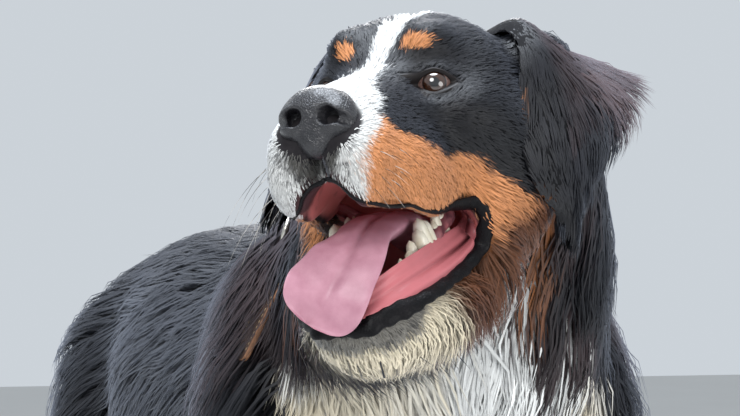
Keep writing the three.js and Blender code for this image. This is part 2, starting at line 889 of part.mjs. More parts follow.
// Tongue: over the floor of the jaw, past the right lower lip and down in front of the chin
const TONGUE_PATH = [
  [-52, 0, -88],
  [-10, 1, -96],
  [25, -2, -109],
  [52, -8, -128],
  [67, -13, -149],
  [67, -17, -167],
];
function tongue(grow) {
  const curve = new THREE.CatmullRomCurve3(TONGUE_PATH.map((p) => new THREE.Vector3(...p)));
  const half = through([[0, 25], [0.35, 30], [0.65, 32], [0.85, 28], [0.95, 18], [1, 8]]);
  const thick = through([[0, 12], [0.4, 10], [0.7, 7], [0.9, 5], [1, 2.4]]);
  const [count, sides] = [12, 12];
  const ring = (t) => {
    const middle = curve.getPoint(t).toArray();
    const way = curve.getTangent(t).toArray();
    const lean = mix(0, 0.5, t);
    const side = unit(sub([-lean, 1, 0], scale(way, dot([-lean, 1, 0], way))));
    const up = cross(way, side);
    return Array.from({ length: sides }, (_, i) => {
      const turn = (2 * Math.PI * i) / sides;
      const [c, s] = [Math.cos(turn), Math.sin(turn)];
      const groove = s > 0 ? 3.2 * Math.exp(-((c / 0.28) ** 2)) : 0;
      const high = (thick(t) + grow) * s - groove + 2.5 * c * c;
      return add(add(middle, side, (half(t) + grow) * c), up, high);
    });
  };
  const rings = Array.from({ length: count }, (_, i) => ring(i / (count - 1)));
  const first = add(curve.getPoint(0).toArray(), curve.getTangent(0).toArray(), -3 - grow);
  const last = add(curve.getPoint(1).toArray(), curve.getTangent(1).toArray(), 5 + grow);
  return skin(rings, first, last);
}

// Ears: a cupped flap that rises from the skull, folds over and hangs beside the cheek
const EARS = {
  left: {
    side: 1,
    middle: [
      [EAR_ROOT.x, EAR_ROOT.y, EAR_ROOT.z],
      [-84, 74, 42],
      [-90, 98, 10],
      [-92, 98, -32],
      [-84, 89, -80],
    ],
    half: [[0, 22], [0.25, 34], [0.5, 55], [0.65, 60], [0.8, 46], [0.93, 23], [1, 8]],
    front: [0.9, -0.42, 0.1],
  },
  right: {
    side: -1,
    middle: [
      [EAR_ROOT.x, EAR_ROOT.y, EAR_ROOT.z],
      [-90, 72, 36],
      [-92, 94, 2],
      [-84, 105, -36],
      [-72, 107, -72],
    ],
    half: [[0, 22], [0.25, 32], [0.5, 44], [0.75, 38], [0.92, 20], [1, 8]],
    front: [0.94, -0.3, 0.1],
  },
};

// Where the flap is, the way it runs, its forward edge and its outer face, from root (0) to tip (1)
const earFrame = ({ side, middle, front }) => {
  const points = middle.map(([x, y, z]) => new THREE.Vector3(x, y * side, z));
  const curve = new THREE.CatmullRomCurve3(points);
  return (t) => {
    const way = curve.getTangent(t).toArray();
    const forward = [front[0], front[1] * side, front[2]];
    const across = unit(sub(forward, scale(way, dot(forward, way))));
    return { at: curve.getPoint(t).toArray(), way, across, out: scale(cross(across, way), side) };
  };
};

// Fringe locks of a flap: place along it, how far towards its forward edge (1) or rear edge (-1), length
const EAR_FRINGE = [
  [0.52, -0.8, 46],
  [0.72, -0.72, 50],
  [0.9, -0.2, 44],
  [0.76, 0.66, 38],
];
function earFringe(shape, grow) {
  const frame = earFrame(shape);
  const wide = through(shape.half);
  return EAR_FRINGE.map(([t, edge, long]) => {
    const { at, way, across, out } = frame(t);
    const seat = add(at, across, edge * wide(t));
    const size = { seat, lie: add(way, across, edge * 0.6), long, wide: 34, thick: 3, lift: 1 };
    const face = (p) => dot(sub(p, seat), out);
    return lock(face, { ...size, sink: 2, sag: 0.4 }, grow);
  });
}

function ear(shape, grow) {
  const frame = earFrame(shape);
  const wide = through(shape.half);
  const [count, sides, thick, cup] = [9, 10, 5.5, 9];
  const ring = (t) => {
    const { at, across, out } = frame(t);
    return Array.from({ length: sides }, (_, i) => {
      const turn = (2 * Math.PI * i) / sides;
      const [c, s] = [Math.cos(turn), Math.sin(turn)];
      const bow = -cup * c * c + cup / 2;
      const high = (thick * (1 - 0.45 * c * c) + grow) * s + bow;
      return add(add(at, across, (wide(t) + grow) * c), out, high);
    });
  };
  const rings = Array.from({ length: count }, (_, i) => ring(i / (count - 1)));
  const first = add(frame(0).at, frame(0).way, -14);
  const last = add(frame(1).at, frame(1).way, 6 + grow);
  return union([skin(rings, first, last), ...earFringe(shape, grow)]);
}

// Collar: a leather band round the neck under the coat, its ring and its loose strap end
const COLLAR = { width: 25, thick: 4, at: 0.47 };
const collarCentre = mix3(NECK_FOOT, NECK_HEAD, COLLAR.at);

function band(grow) {
  const steps = 20;
  const edges = [-1, 1].map((edge) =>
    add(collarCentre, neckWay, edge * (COLLAR.width / 2 + grow)),
  );
  const ring = (centre, off) =>
    Array.from({ length: steps }, (_, i) => {
      const turn = (2 * Math.PI * i) / steps;
      const way = add(scale(neckSide, Math.cos(turn)), neckUp, Math.sin(turn));
      return add(centre, way, reachOf(neckForm, collarCentre, way, 200) + off);
    });
  const inner = -3 - grow;
  const outer = COLLAR.thick + grow;
  const loops = [
    ring(edges[0], inner),
    ring(edges[1], inner),
    ring(edges[1], outer),
    ring(edges[0], outer),
  ];
  const faces = [];
  for (let k = 0; k < 4; k++)
    for (let i = 0; i < steps; i++) {
      const [a, b] = [k * steps, ((k + 1) % 4) * steps];
      const next = (i + 1) % steps;
      faces.push(a + i, a + next, b + next, a + i, b + next, b + i);
    }
  const geometry = new THREE.BufferGeometry();
  geometry.setAttribute("position", new THREE.Float32BufferAttribute(loops.flat(2), 3));
  geometry.setIndex(faces);
  return solidOf(geometry);
}

// The strap's loose end hangs from the buckle on the dog's right, over the coat
const STRAP_END = {
  path: [
    [-105, -301, 606],
    [-116, -305, 592],
    [-124, -303, 576],
    [-130, -297, 560],
    [-135, -290, 546],
  ],
  face: [-0.95, -0.15, 0.52],
};
function strapEnd(grow) {
  const { path, face } = STRAP_END;
  const rings = path.map((at, i) => {
    const run = unit(sub(path[Math.min(i + 1, 4)], path[Math.max(i - 1, 0)]));
    const across = unit(cross(run, face));
    const out = cross(across, run);
    const corners = [[1, 1], [-1, 1], [-1, -1], [1, -1]];
    return corners.map(([u, v]) =>
      add(add(at, across, u * (COLLAR.width / 2 + grow)), out, v * (COLLAR.thick / 2 + grow)),
    );
  });
  const first = add(path[0], unit(sub(path[1], path[0])), -0.5 - grow);
  const last = add(path[4], unit(sub(path[4], path[3])), 5 + grow);
  return skin(rings, first, last);
}

const BUCKLE = { turn: 0.3, wide: 36, long: 30, bar: 4.5, thick: 4, pin: 3 };
function buckle(grow) {
  const way = add(scale(neckSide, Math.cos(BUCKLE.turn)), neckUp, Math.sin(BUCKLE.turn));
  const along = unit(cross(neckWay, way));
  const off = reachOf(neckForm, collarCentre, way, 200) + COLLAR.thick + GAP + BUCKLE.thick / 2;
  const { wide, long, bar, thick, pin } = BUCKLE;
  const place = new THREE.Matrix4()
    .makeBasis(...[neckWay, along, way].map((v) => new THREE.Vector3(...v)))
    .setPosition(...add(collarCentre, way, off));
  const outer = boxOf([0, 0, 0], [wide + 2 * grow, long + 2 * grow, thick + 2 * grow]);
  const hole = boxOf([0, 0, 0], [wide - 2 * bar - 2 * grow, long - 2 * bar - 2 * grow, thick * 2]);
  const prong = boxOf([0, 0, 0], [pin + 2 * grow, long - bar, thick * 0.8 + 2 * grow]);
  return union([outer.subtract(hole), prong]).transform(place.elements);
}

// Placing: every head piece is made in the head's frame and turned with it
const headTurn = new THREE.Euler(HEAD_ROLL, HEAD_PITCH, HEAD_HEADING, "ZYX");
const headPlace = new THREE.Matrix4()
  .makeTranslation(...EYES_MID)
  .multiply(new THREE.Matrix4().makeRotationFromEuler(headTurn));
const turned = (solid) => solid.transform(headPlace.elements);

const headPieces = {
  head: head(0),
  nose: nose(0),
  eye_left: eye(1, 0),
  eye_right: eye(-1, 0),
};
const grownHead = head(GAP);
headPieces.lower_jaw = without(lowerJaw(0), [grownHead]);
const grownJaw = lowerJaw(GAP);
headPieces.tongue = without(tongue(0), [grownHead, grownJaw]);
headPieces.ear_left = without(ear(EARS.left, 0), [grownHead]);
headPieces.ear_right = without(ear(EARS.right, 0), [grownHead]);

const headCuts = [
  headShell(GAP),
  jawShell(GAP).transform(jawPlace.elements),
  ear(EARS.left, GAP),
  ear(EARS.right, GAP),
].map(turned);
const grownTorso = torso(GAP);
const bodyPieces = {
  torso: torso(0),
  neck: without(neck(0), [grownTorso, band(GAP), strapEnd(GAP), buckle(GAP), ...headCuts]),
  collar: without(band(0), [grownTorso]),
  collar_buckle: buckle(0),
  collar_end: without(strapEnd(0), [band(GAP), buckle(GAP), grownTorso]),
  tail: without(tail(0), [grownTorso]),
  foreleg_left: without(foreleg(1, 0), [grownTorso, FLOOR_CUT]),
  foreleg_right: without(foreleg(-1, 0), [grownTorso, FLOOR_CUT]),
  hindleg_left: without(hindleg(1, 0), [grownTorso, belowHock]),
  hindleg_right: without(hindleg(-1, 0), [grownTorso, belowHock]),
  hind_foot_left: without(hindleg(1, 0), [aboveHock, FLOOR_CUT]),
  hind_foot_right: without(hindleg(-1, 0), [aboveHock, FLOOR_CUT]),
};

// Finishes
const finish = (color, roughness) => new THREE.MeshStandardMaterial({ color, roughness });
const coat = finish(0x17161a, 0.75);
const rust = finish(0x9c5426, 0.8);
const leather = finish(0x5a3a28, 0.6);
const wet = finish(0xd98a90, 0.35);
const FINISHES = {
  head: coat,
  nose: finish(0x1b1b1f, 0.4),
  eye_left: finish(0x2a1508, 0.1),
  eye_right: finish(0x2a1508, 0.1),
  lower_jaw: finish(0x3a3030, 0.5),
  tongue: wet,
  foreleg_left: rust,
  foreleg_right: rust,
  hindleg_left: rust,
  hindleg_right: rust,
  collar: leather,
  collar_buckle: finish(0xb9b4a8, 0.3),
  collar_end: leather,
};

function meshOf(name, solid) {
  const made = solid.getMesh();
  const geometry = new THREE.BufferGeometry();
  geometry.setAttribute(
    "position",
    new THREE.Float32BufferAttribute(Array.from(made.vertProperties), 3),
  );
  geometry.setIndex(Array.from(made.triVerts));
  geometry.computeVertexNormals();
  const mesh = new THREE.Mesh(geometry, FINISHES[name] ?? coat);
  mesh.name = name;
  return mesh;
}

const headGroup = new THREE.Group();
headGroup.position.set(...EYES_MID);
headGroup.rotation.copy(headTurn);
for (const [name, solid] of Object.entries(headPieces)) headGroup.add(meshOf(name, solid));

const dog = new THREE.Group();
dog.add(headGroup);
for (const [name, solid] of Object.entries(bodyPieces)) dog.add(meshOf(name, solid));

// The origin is on the floor under the middle of the whole dog
const extent = new THREE.Box3().setFromObject(dog, true);
dog.position.set(-(extent.min.x + extent.max.x) / 2, -(extent.min.y + extent.max.y) / 2, 0);
const model = new THREE.Group();
model.add(dog);

export default model;
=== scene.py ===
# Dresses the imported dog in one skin, a coat of tufts, eyes, nose, mouth and collar, and sets up the stage.
# Lengths are millimetres in the dog's own frame, as in the solids; meshes are written in metres.
import math

import bpy
import numpy as np
from mathutils import Matrix, Vector
from mathutils.kdtree import KDTree


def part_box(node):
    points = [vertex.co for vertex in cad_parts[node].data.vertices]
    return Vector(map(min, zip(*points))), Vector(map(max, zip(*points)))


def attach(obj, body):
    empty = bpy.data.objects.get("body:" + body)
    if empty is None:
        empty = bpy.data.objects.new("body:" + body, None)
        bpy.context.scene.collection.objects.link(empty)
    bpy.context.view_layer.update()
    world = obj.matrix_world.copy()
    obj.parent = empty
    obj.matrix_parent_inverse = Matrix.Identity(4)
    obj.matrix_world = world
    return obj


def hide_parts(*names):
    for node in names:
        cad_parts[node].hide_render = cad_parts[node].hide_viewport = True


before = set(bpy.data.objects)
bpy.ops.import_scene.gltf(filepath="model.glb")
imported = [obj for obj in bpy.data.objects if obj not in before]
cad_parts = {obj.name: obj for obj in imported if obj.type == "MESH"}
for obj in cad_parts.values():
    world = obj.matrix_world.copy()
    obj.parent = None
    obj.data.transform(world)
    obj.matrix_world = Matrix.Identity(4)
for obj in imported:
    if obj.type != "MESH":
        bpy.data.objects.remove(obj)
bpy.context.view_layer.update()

# Numbers shared with the solids, in millimetres and degrees
WITHERS = 655
NECK_FOOT = np.array([0.0, -222, 528])
NECK_HEAD = np.array([12.0, -366, 672])
THROAT_BACK = np.array([0.0, 0.707, 0.707])
SHOULDER = (97, -238, 470)
ELBOW = (100, -195, 345)
CARPUS = (98, -214, 168)
FRONT_PAW = (98, -250)
FRONT_PAW_HALF = 45
HIP = (78, 262, 520)
STIFLE = (108, 208, 375)
HOCK = (96, 392, 188)
HIND_PAW = (96, 352)
HIND_PAW_HALF = 42
TOES = (-1.12, -0.4, 0.4, 1.12)
TAIL_PATH = np.array([(0, 352, 575), (0, 398, 505), (0, 424, 385), (4, 436, 275), (10, 462, 205)], float)
EYES_MID = np.array([-90.0, -470, 725])
HEAD_TURN = (-133.3, -9, 4.1)
EYE_R = 12.5
EYE_FRONT = (5, 40, 0)
EYE_SPLAY = math.radians(27)
LID_R = EYE_R + 2.2
LID_TILT = 6
NOSE = (96, 0, -37)
JAW_HINGE = np.array([-85.0, 0, -45])
JAW_OPEN = 41.2
JAW_LENGTH = 181
SIDES = {"left": 1, "right": -1}

# How softly the skins of the parts join, and how high the soles of the skin lie
JOIN = 24
HEAD_JOIN = 14
SOLE = 0.6

# How deep the skin lies under the solids' cores
DEPTH = {"torso": 14, "neck": 15, "fore": 5, "hind": 7, "tail": 14, "head": 3, "jaw": 2}

RNG = np.random.default_rng(7)

# Cells and boxes of the grids, boxes and cells of the fields; head and nose are in the head's frame
HEAD_CELL = 1.7
BODY_CELL = 5.0
FOOT_CELL = 2.6
NOSE_CELL = 1.0
HEAD_BOX = ((-172, -100, -200), (104, 100, 74))
BODY_BOX = ((-200, -460, 60), (200, 500, 760))
NOSE_BOX = ((60, -32, -72), (116, 32, -8))
HEAD_FIELD = ((-190, -120, -215), (130, 120, 95), 4.0)
BODY_FIELD = ((-250, -640, -30), (250, 540, 860), 7.0)
PAW_TOP = 96

# Tufts: how many on the head and in how many pieces, how many on an ear, what the body's numbers are
# divided by, the most triangles of a body piece, the side of a patch on the chart and how tones vary
HEAD_TUFTS = 44000
HEAD_PIECES = 3
EAR_TUFTS = 4700
BODY_SHARE = 1
PIECE_TRIANGLES = 190_000
PATCH = 0.003
TUFT_VARY = 0.07


def turn(axis, degrees):
    """A turn about one axis as a matrix."""
    return np.array(Matrix.Rotation(math.radians(degrees), 3, axis))


HEAD = turn("Z", HEAD_TURN[0]) @ turn("Y", HEAD_TURN[1]) @ turn("X", HEAD_TURN[2])
JAW = turn("Y", JAW_OPEN)


def unit(v):
    """Rows scaled to length 1."""
    return v / np.maximum(np.linalg.norm(v, axis=-1, keepdims=True), 1e-9)


def eye_axis(side):
    """The way an eye looks, in the head's frame."""
    return np.array([math.cos(EYE_SPLAY), side * math.sin(EYE_SPLAY), 0])


def eye_centre(side):
    """The middle of an eyeball, in the head's frame."""
    return np.array([EYE_FRONT[0], side * EYE_FRONT[1], EYE_FRONT[2]]) - eye_axis(side) * EYE_R


def packed_place():
    """Where the dog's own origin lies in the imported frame, from the boxes of its eyes in metres."""
    middles = [np.add(*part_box(f"eye_{name}")) / 2 * 1000 for name in SIDES]
    own = EYES_MID + HEAD @ ((eye_centre(1) + eye_centre(-1)) / 2)
    shift = (middles[0] + middles[1]) / 2 - own
    shift[2] = 0
    return shift


SHIFT = packed_place()


def from_head(q):
    """Points of the head's frame in the dog's frame."""
    return np.asarray(q, float) @ HEAD.T + EYES_MID


def to_head(p):
    """Points of the dog's frame in the head's frame."""
    return (p - EYES_MID) @ HEAD


def from_jaw(q):
    """Points of the jaw's frame in the head's frame."""
    return np.asarray(q, float) @ JAW.T + JAW_HINGE


# Curves and forms: a form is below zero inside and grows like the distance outside
def through(pairs):
    """A smooth curve through (position, value) pairs, flat past its ends."""
    xs, ys = np.array(pairs, float).T
    low = np.maximum(np.arange(len(xs)) - 1, 0)
    high = np.minimum(np.arange(len(xs)) + 1, len(xs) - 1)
    slopes = (ys[high] - ys[low]) / (xs[high] - xs[low])

    def curve(at):
        at = np.clip(at, xs[0], xs[-1])
        i = np.clip(np.searchsorted(xs, at) - 1, 0, len(xs) - 2)
        span = xs[i + 1] - xs[i]
        t = (at - xs[i]) / span
        t2, t3 = t * t, t * t * t
        start = (2 * t3 - 3 * t2 + 1) * ys[i] + (t3 - 2 * t2 + t) * span * slopes[i]
        return start + (3 * t2 - 2 * t3) * ys[i + 1] + (t3 - t2) * span * slopes[i + 1]

    return curve


def ellipsoid(centre, radii):
    """A form of three half axes."""
    centre = np.array(centre, float)
    radii = np.array(radii, float)

    def form(p):
        q = (p - centre) / radii
        k = np.sqrt((q * q).sum(1))
        g = np.sqrt(((q / radii) ** 2).sum(1)) + 1e-9
        return k * (k - 1) / g

    return form


def limb(a, b, ra, rb):
    """A round bar from a to b with a radius for each end."""
    a = np.array(a, float)
    ab = np.array(b, float) - a

    def form(p):
        t = np.clip((p - a) @ ab / (ab @ ab), 0, 1)
        return np.linalg.norm(p - a - t[:, None] * ab, axis=1) - (ra + (rb - ra) * t)

    return form


def soft_min(a, b, soft):
    """The lower of two values, rounded off where they are nearly the same."""
    h = np.maximum(soft - np.abs(a - b), 0) / soft
    return np.minimum(a, b) - h * h * soft / 4


def blend(forms, soft):
    def form(p):
        value = forms[0](p)
        for one in forms[1:]:
            value = soft_min(value, one(p), soft)
        return value

    return form


def carve(form, cuts, soft):
    """A form with others cut out of it."""
    def cut_form(p):
        value = -form(p)
        for cut in cuts:
            value = soft_min(value, cut(p), soft)
        return -value

    return cut_form


def limbs(path, radii, soft):
    """Round bars along a path, blended."""
    return blend([limb(*ends) for ends in zip(path, path[1:], radii, radii[1:])], soft)


def both(make):
    return [make(1), make(-1)]


def deeper(form, depth):
    return lambda p: form(p) + depth


def boxed(form, low, high, margin=70):
    """A form worked out only near its box; further away the distance to the box stands in for it."""
    low, high = np.array(low) - margin, np.array(high) + margin

    def near_form(p):
        away = np.linalg.norm(np.maximum(np.maximum(low - p, p - high), 0), axis=1)
        value = away + margin * 0.9
        near = away == 0
        value[near] = form(p[near])
        return value

    return near_form


def barrel(axis, top, bottom, half, ends, rounds):
    """A barrel along x (0) or y (1): top, bottom and half width are curves of the place along it."""

    def form(p):
        at = np.clip(p[:, axis], *ends)
        high, low, wide = top(at), bottom(at), half(at)
        tall = (high - low) / 2
        u = np.abs(p[:, 1 - axis]) / wide
        w = (p[:, 2] - (high + low) / 2) / tall
        n = np.where(w > 0, rounds[0], rounds[1])
        k = (u**n + np.abs(w) ** n) ** (1 / n)
        side = (k - 1) * np.minimum(wide, tall)
        past = np.abs(p[:, axis] - at)
        outside = np.hypot(np.maximum(side, 0), past) + np.minimum(side, 0) * 0.2
        return np.where(past > 0, outside, side)

    return form


# The body's forms, as in the solids
torso_core = blend(
    [
        barrel(
            1,
            through([(-350, 494), (-300, 588), (-230, WITHERS - 8), (-150, WITHERS - 10), (-40, 641),
                     (80, 640), (180, 636), (260, 621), (325, 588), (356, 556), (370, 526)]),
            through([(-350, 440), (-300, 360), (-230, 318), (-150, 303), (-40, 305),
                     (80, 326), (180, 366), (260, 405), (325, 440), (356, 470), (370, 498)]),
            through([(-350, 56), (-300, 114), (-230, 132), (-150, 138), (-40, 142),
                     (80, 140), (180, 126), (260, 118), (325, 92), (356, 56), (370, 18)]),
            (-350, 370),
            (2.1, 2.3),
        ),
        *both(lambda s: ellipsoid((s * SHOULDER[0], SHOULDER[1] - 18, SHOULDER[2]), (54, 78, 120))),
        *both(lambda s: ellipsoid((s * HIP[0], HIP[1], HIP[2] - 45), (58, 92, 105))),
    ],
    40,
)
neck_core = blend(
    [
        limb(NECK_FOOT, NECK_HEAD, 132, 76),
        ellipsoid((-4, -322, 500), (100, 60, 100)),
        ellipsoid((-4, -356, 590), (80, 50, 80)),
    ],
    50,
)


def paw(side, place, half):
    """Four toes and the pad behind them."""
    x, y = place
    toes = [
        ellipsoid((side * x + t * half * 0.56, y - 26 + abs(t) * 12, 20), (half * 0.33, 32, 24))
        for t in TOES
    ]
    return blend([*toes, ellipsoid((side * x, y + 14, 22), (half * 0.86, 40, 26))], 5)


def foreleg(side):
    path = [
        (side * SHOULDER[0], SHOULDER[1] + 20, SHOULDER[2] - 30),
        (side * ELBOW[0], ELBOW[1], ELBOW[2]),
        (side * (CARPUS[0] + 1), CARPUS[1], CARPUS[2]),
        (side * FRONT_PAW[0], CARPUS[1] - 18, 62),
        (side * FRONT_PAW[0], FRONT_PAW[1] + 16, 34),
    ]
    leg = deeper(limbs(path, [60, 44, 31, 29, 30], 14), DEPTH["fore"])
    return blend([leg, deeper(paw(side, FRONT_PAW, FRONT_PAW_HALF), 2)], 12)


def hindleg(side):
    path = [
        (side * (STIFLE[0] - 4), STIFLE[1] + 26, STIFLE[2] + 12),
        (side * HOCK[0], HOCK[1] - 8, HOCK[2]),
        (side * HIND_PAW[0], HOCK[1] - 14, 70),
        (side * HIND_PAW[0], HIND_PAW[1] + 14, 34),
    ]
    thigh = ellipsoid((side * (HIP[0] + 14), HIP[1] - 10, HIP[2] - 80), (58, 88, 118))
    leg = deeper(limbs(path, [62, 29, 27, 27], 14), 4)
    return blend([deeper(thigh, DEPTH["hind"]), leg, deeper(paw(side, HIND_PAW, HIND_PAW_HALF), 2)], 24)


tail_core = limbs(TAIL_PATH, [38, 34, 32, 28, 15], 30)

# The head's forms, in its own frame
head_barrel = barrel(
    0,
    through([(-134, 24), (-118, 41), (-92, 56), (-62, 62), (-36, 59), (-14, 48),
             (4, 28), (22, 11), (44, 2), (66, -7), (84, -17), (95, -33)]),
    through([(-134, -40), (-118, -62), (-92, -74), (-62, -80), (-30, -78),
             (4, -76), (44, -76), (68, -78), (86, -76), (95, -68)]),
    through([(-134, 46), (-118, 63), (-92, 76), (-62, 79), (-36, 74), (-14, 63),
             (4, 51), (22, 45), (44, 42), (66, 40), (84, 33), (95, 20)]),
    (-134, 95),
    (1.85, 2.5),
)
head_full = carve(
    blend(
        [
            head_barrel,
            *both(lambda s: ellipsoid((-13, s * 27, 28), (22, 17, 17))),
            *both(lambda s: ellipsoid((-36, s * 55, -20), (44, 24, 26))),
            *both(lambda s: ellipsoid((-78, s * 52, -50), (46, 31, 50))),
            ellipsoid((54, 28, -63), (40, 13, 27)),
            ellipsoid((56, -28, -66), (40, 13, 30)),
            *both(lambda s: ellipsoid((14, s * 40, -62), (44, 13, 28))),
            *both(lambda s: ellipsoid((76, s * 18, -56), (21, 19, 23))),
        ],
        16,
    ),
    [ellipsoid((96, 0, -80), (16, 3.5, 22)), ellipsoid((-6, 0, 58), (34, 7, 12))],
    8,
)
jaw_full = barrel(
    0,
    through([(0, 20), (30, 2), (54, -12), (88, -9), (137, 1), (164, 8), (181, 2)]),
    through([(0, -48), (54, -56), (100, -50), (140, -39), (168, -30), (181, -14)]),
    through([(0, 60), (54, 53), (88, 50), (137, 46), (160, 38), (174, 26), (181, 15)]),
    (0, JAW_LENGTH),
    (3, 2.2),
)
jaw_floor = blend([ellipsoid((60, 0, 14), (52, 40, 34)), ellipsoid((125, 0, 20), (48, 34, 30))], 14)
mouth_roof = blend(
    [
        ellipsoid((34, 0, -92), (42, 24, 38)),
        ellipsoid((2, 0, -96), (52, 33, 42)),
        ellipsoid((-28, 0, -98), (34, 40, 40)),
        ellipsoid((88, 4, -100), (34, 20, 24)),
    ],
    10,
)
sockets = both(lambda s: ellipsoid(eye_centre(s) + eye_axis(s) * 24, (17, 17, 13)))
lid_domes = both(lambda s: ellipsoid(eye_centre(s), (LID_R, LID_R, LID_R)))
cheek_webs = both(lambda s: limb((-44, s * 53, -66), (-54, s * 50, -98), 13, 13))
cheek_hollows = both(lambda s: ellipsoid((-26, s * 40, -92), (26, 10, 15)))
flews = both(lambda s: ellipsoid((76, s * 22, -74), (14, 9, 15)))
ear_mounds = both(lambda s: ellipsoid((-92, s * 66, 24), (26, 26, 24)))


def in_jaw(q):
    """Points of the head's frame in the jaw's frame."""
    return (q - JAW_HINGE) @ JAW


def mouth_hollow(q):
    """Below zero inside the mouth: under the roof, over the floor of the jaw and inside the cheeks."""
    value = np.minimum(mouth_roof(q), jaw_floor(in_jaw(q)))
    for hollow in cheek_hollows:
        value = soft_min(value, hollow(q), 6)
    return value


def head_flesh(q):
    """Head and jaw as one form, with the mouth hollowed out and domes for the lids, in the head's frame."""
    upper = head_full(q) + DEPTH["head"]
    lower = jaw_full(in_jaw(q)) + DEPTH["jaw"]
    value = soft_min(upper, lower, 12)
    for web in (*cheek_webs, *ear_mounds, *flews):
        value = soft_min(value, web(q), 14)
    value = -value
    for cut in (mouth_hollow, *sockets):
        value = soft_min(value, cut(q), 5)
    value = -value
    for dome in lid_domes:
        value = soft_min(value, dome(q), 5)
    return value


def near_leg(make, side, low, high):
    """One leg's form near its box, which is given as that of the left leg."""
    first, last = sorted((side * low[0], side * high[0]))
    return boxed(make(side), (first, *low[1:]), (last, *high[1:]))


head_near = boxed(head_flesh, (-140, -96, -190), (108, 96, 66))
LEGS = {
    "fore": (foreleg, (35, -320, 0), (165, -140, 505)),
    "hind": (hindleg, (20, 155, 0), (172, 430, 565)),
}
PARTS = {
    "torso": boxed(deeper(torso_core, DEPTH["torso"]), (-160, -365, 290), (160, 375, 665)),
    "neck": boxed(deeper(neck_core, DEPTH["neck"]), (-130, -440, 390), (130, -90, 755)),
    **{f"{leg}_{name}": near_leg(make, side, low, high)
       for leg, (make, low, high) in LEGS.items() for name, side in SIDES.items()},
    "tail": boxed(deeper(tail_core, DEPTH["tail"]), (-40, 310, 185), (45, 485, 620)),
    "head": lambda p: head_near(to_head(p)),
}


def body_flesh(p):
    """The whole dog without its ears, in the dog's frame."""
    value = np.full(len(p), 1e3)
    for name, form in PARTS.items():
        value = soft_min(value, form(p), HEAD_JOIN if name == "head" else JOIN)
    return np.maximum(value, SOLE - p[:, 2])


# Grids and surfaces
def in_chunks(form, p, size=400_000):
    """A form's values, worked out for a limited number of places at a time."""
    return np.concatenate([form(p[i:i + size]) for i in range(0, len(p), size)])


def lattice(low, counts, cell):
    """The places of a grid, one row each."""
    axes = [low[i] + cell * np.arange(counts[i]) for i in range(3)]
    return np.stack(np.meshgrid(*axes, indexing="ij"), -1).reshape(-1, 3)


def near_values(form, low, counts, cell, rough=4):
    """A form's values on a grid: exact near its surface, rough far from it."""
    coarse = -(-counts // rough) + 1
    far = in_chunks(form, lattice(low, coarse, cell * rough)).reshape(coarse)
    near = np.abs(far) < cell * rough * 1.9
    for axis in range(3):
        grown = near.copy()
        for move in (1, -1):
            grown |= np.roll(near, move, axis)
        near = grown

    def spread(a):
        for axis in range(3):
            a = np.repeat(a, rough, axis)
        return a[:counts[0], :counts[1], :counts[2]]

    values, mask = spread(far).copy(), spread(near)
    places = np.argwhere(mask)
    values[mask] = in_chunks(form, low + places * cell)
    return values


def surface(form, low, high, cell):
    """Points and four-sided faces of a form's surface inside a box."""
    low = np.array(low, float)
    counts = (np.ceil((np.array(high) - low) / cell) + 1).astype(int)
    values = near_values(form, low, counts, cell)
    inside = values < 0
    ids, spots, flips = [], [], []
    for axis in range(3):
        first = tuple(slice(0, -1) if i == axis else slice(None) for i in range(3))
        second = tuple(slice(1, None) if i == axis else slice(None) for i in range(3))
        edges = np.argwhere(inside[first] != inside[second])
        others = [(axis + 1) % 3, (axis + 2) % 3]
        room = np.all([(edges[:, o] > 0) & (edges[:, o] < counts[o] - 1) for o in others], axis=0)
        edges = edges[room]
        after = edges.copy()
        after[:, axis] += 1
        a, b = values[tuple(edges.T)], values[tuple(after.T)]
        spot = edges.astype(float)
        spot[:, axis] += a / (a - b)
        corner = np.repeat(edges[:, None], 4, 1)
        corner[:, 1, others[0]] -= 1
        corner[:, 2, others[0]] -= 1
        corner[:, 2, others[1]] -= 1
        corner[:, 3, others[1]] -= 1
        ids.append(np.ravel_multi_index(tuple(corner.reshape(-1, 3).T), counts).reshape(-1, 4))
        spots.append(spot)
        flips.append(a > 0)
    ids, spots, flips = np.concatenate(ids), np.concatenate(spots), np.concatenate(flips)
    _, faces = np.unique(ids, return_inverse=True)
    faces = faces.reshape(-1, 4)
    share = np.bincount(faces.ravel())
    points = np.stack(
        [np.bincount(faces.ravel(), np.repeat(spots[:, i], 4)) / share for i in range(3)], 1
    )
    faces[flips] = faces[flips][:, ::-1]
    points = low + points * cell
    for _ in range(2):
        points = settle(form, points)
    return points, faces


def slope_of(form, p, step=0.6):
    slope = np.empty_like(p)
    for i in range(3):
        move = np.zeros(3)
        move[i] = step
        slope[:, i] = (form(p + move) - form(p - move)) / (2 * step)
    return slope


def settle(form, p, share=1.0, most=4.0):
    """Points moved onto a form's surface."""
    slope = slope_of(form, p)
    squared = np.maximum((slope**2).sum(1), 0.25)
    step = np.clip(form(p) / squared, -most, most) * share
    return p - slope * step[:, None]


def corners(cell, share):
    """The eight corners of the grid round each place, with the weight of each."""
    for corner in np.ndindex(2, 2, 2):
        weights = [share[:, i] if corner[i] else 1 - share[:, i] for i in range(3)]
        yield (cell + corner).T, weights[0] * weights[1] * weights[2]


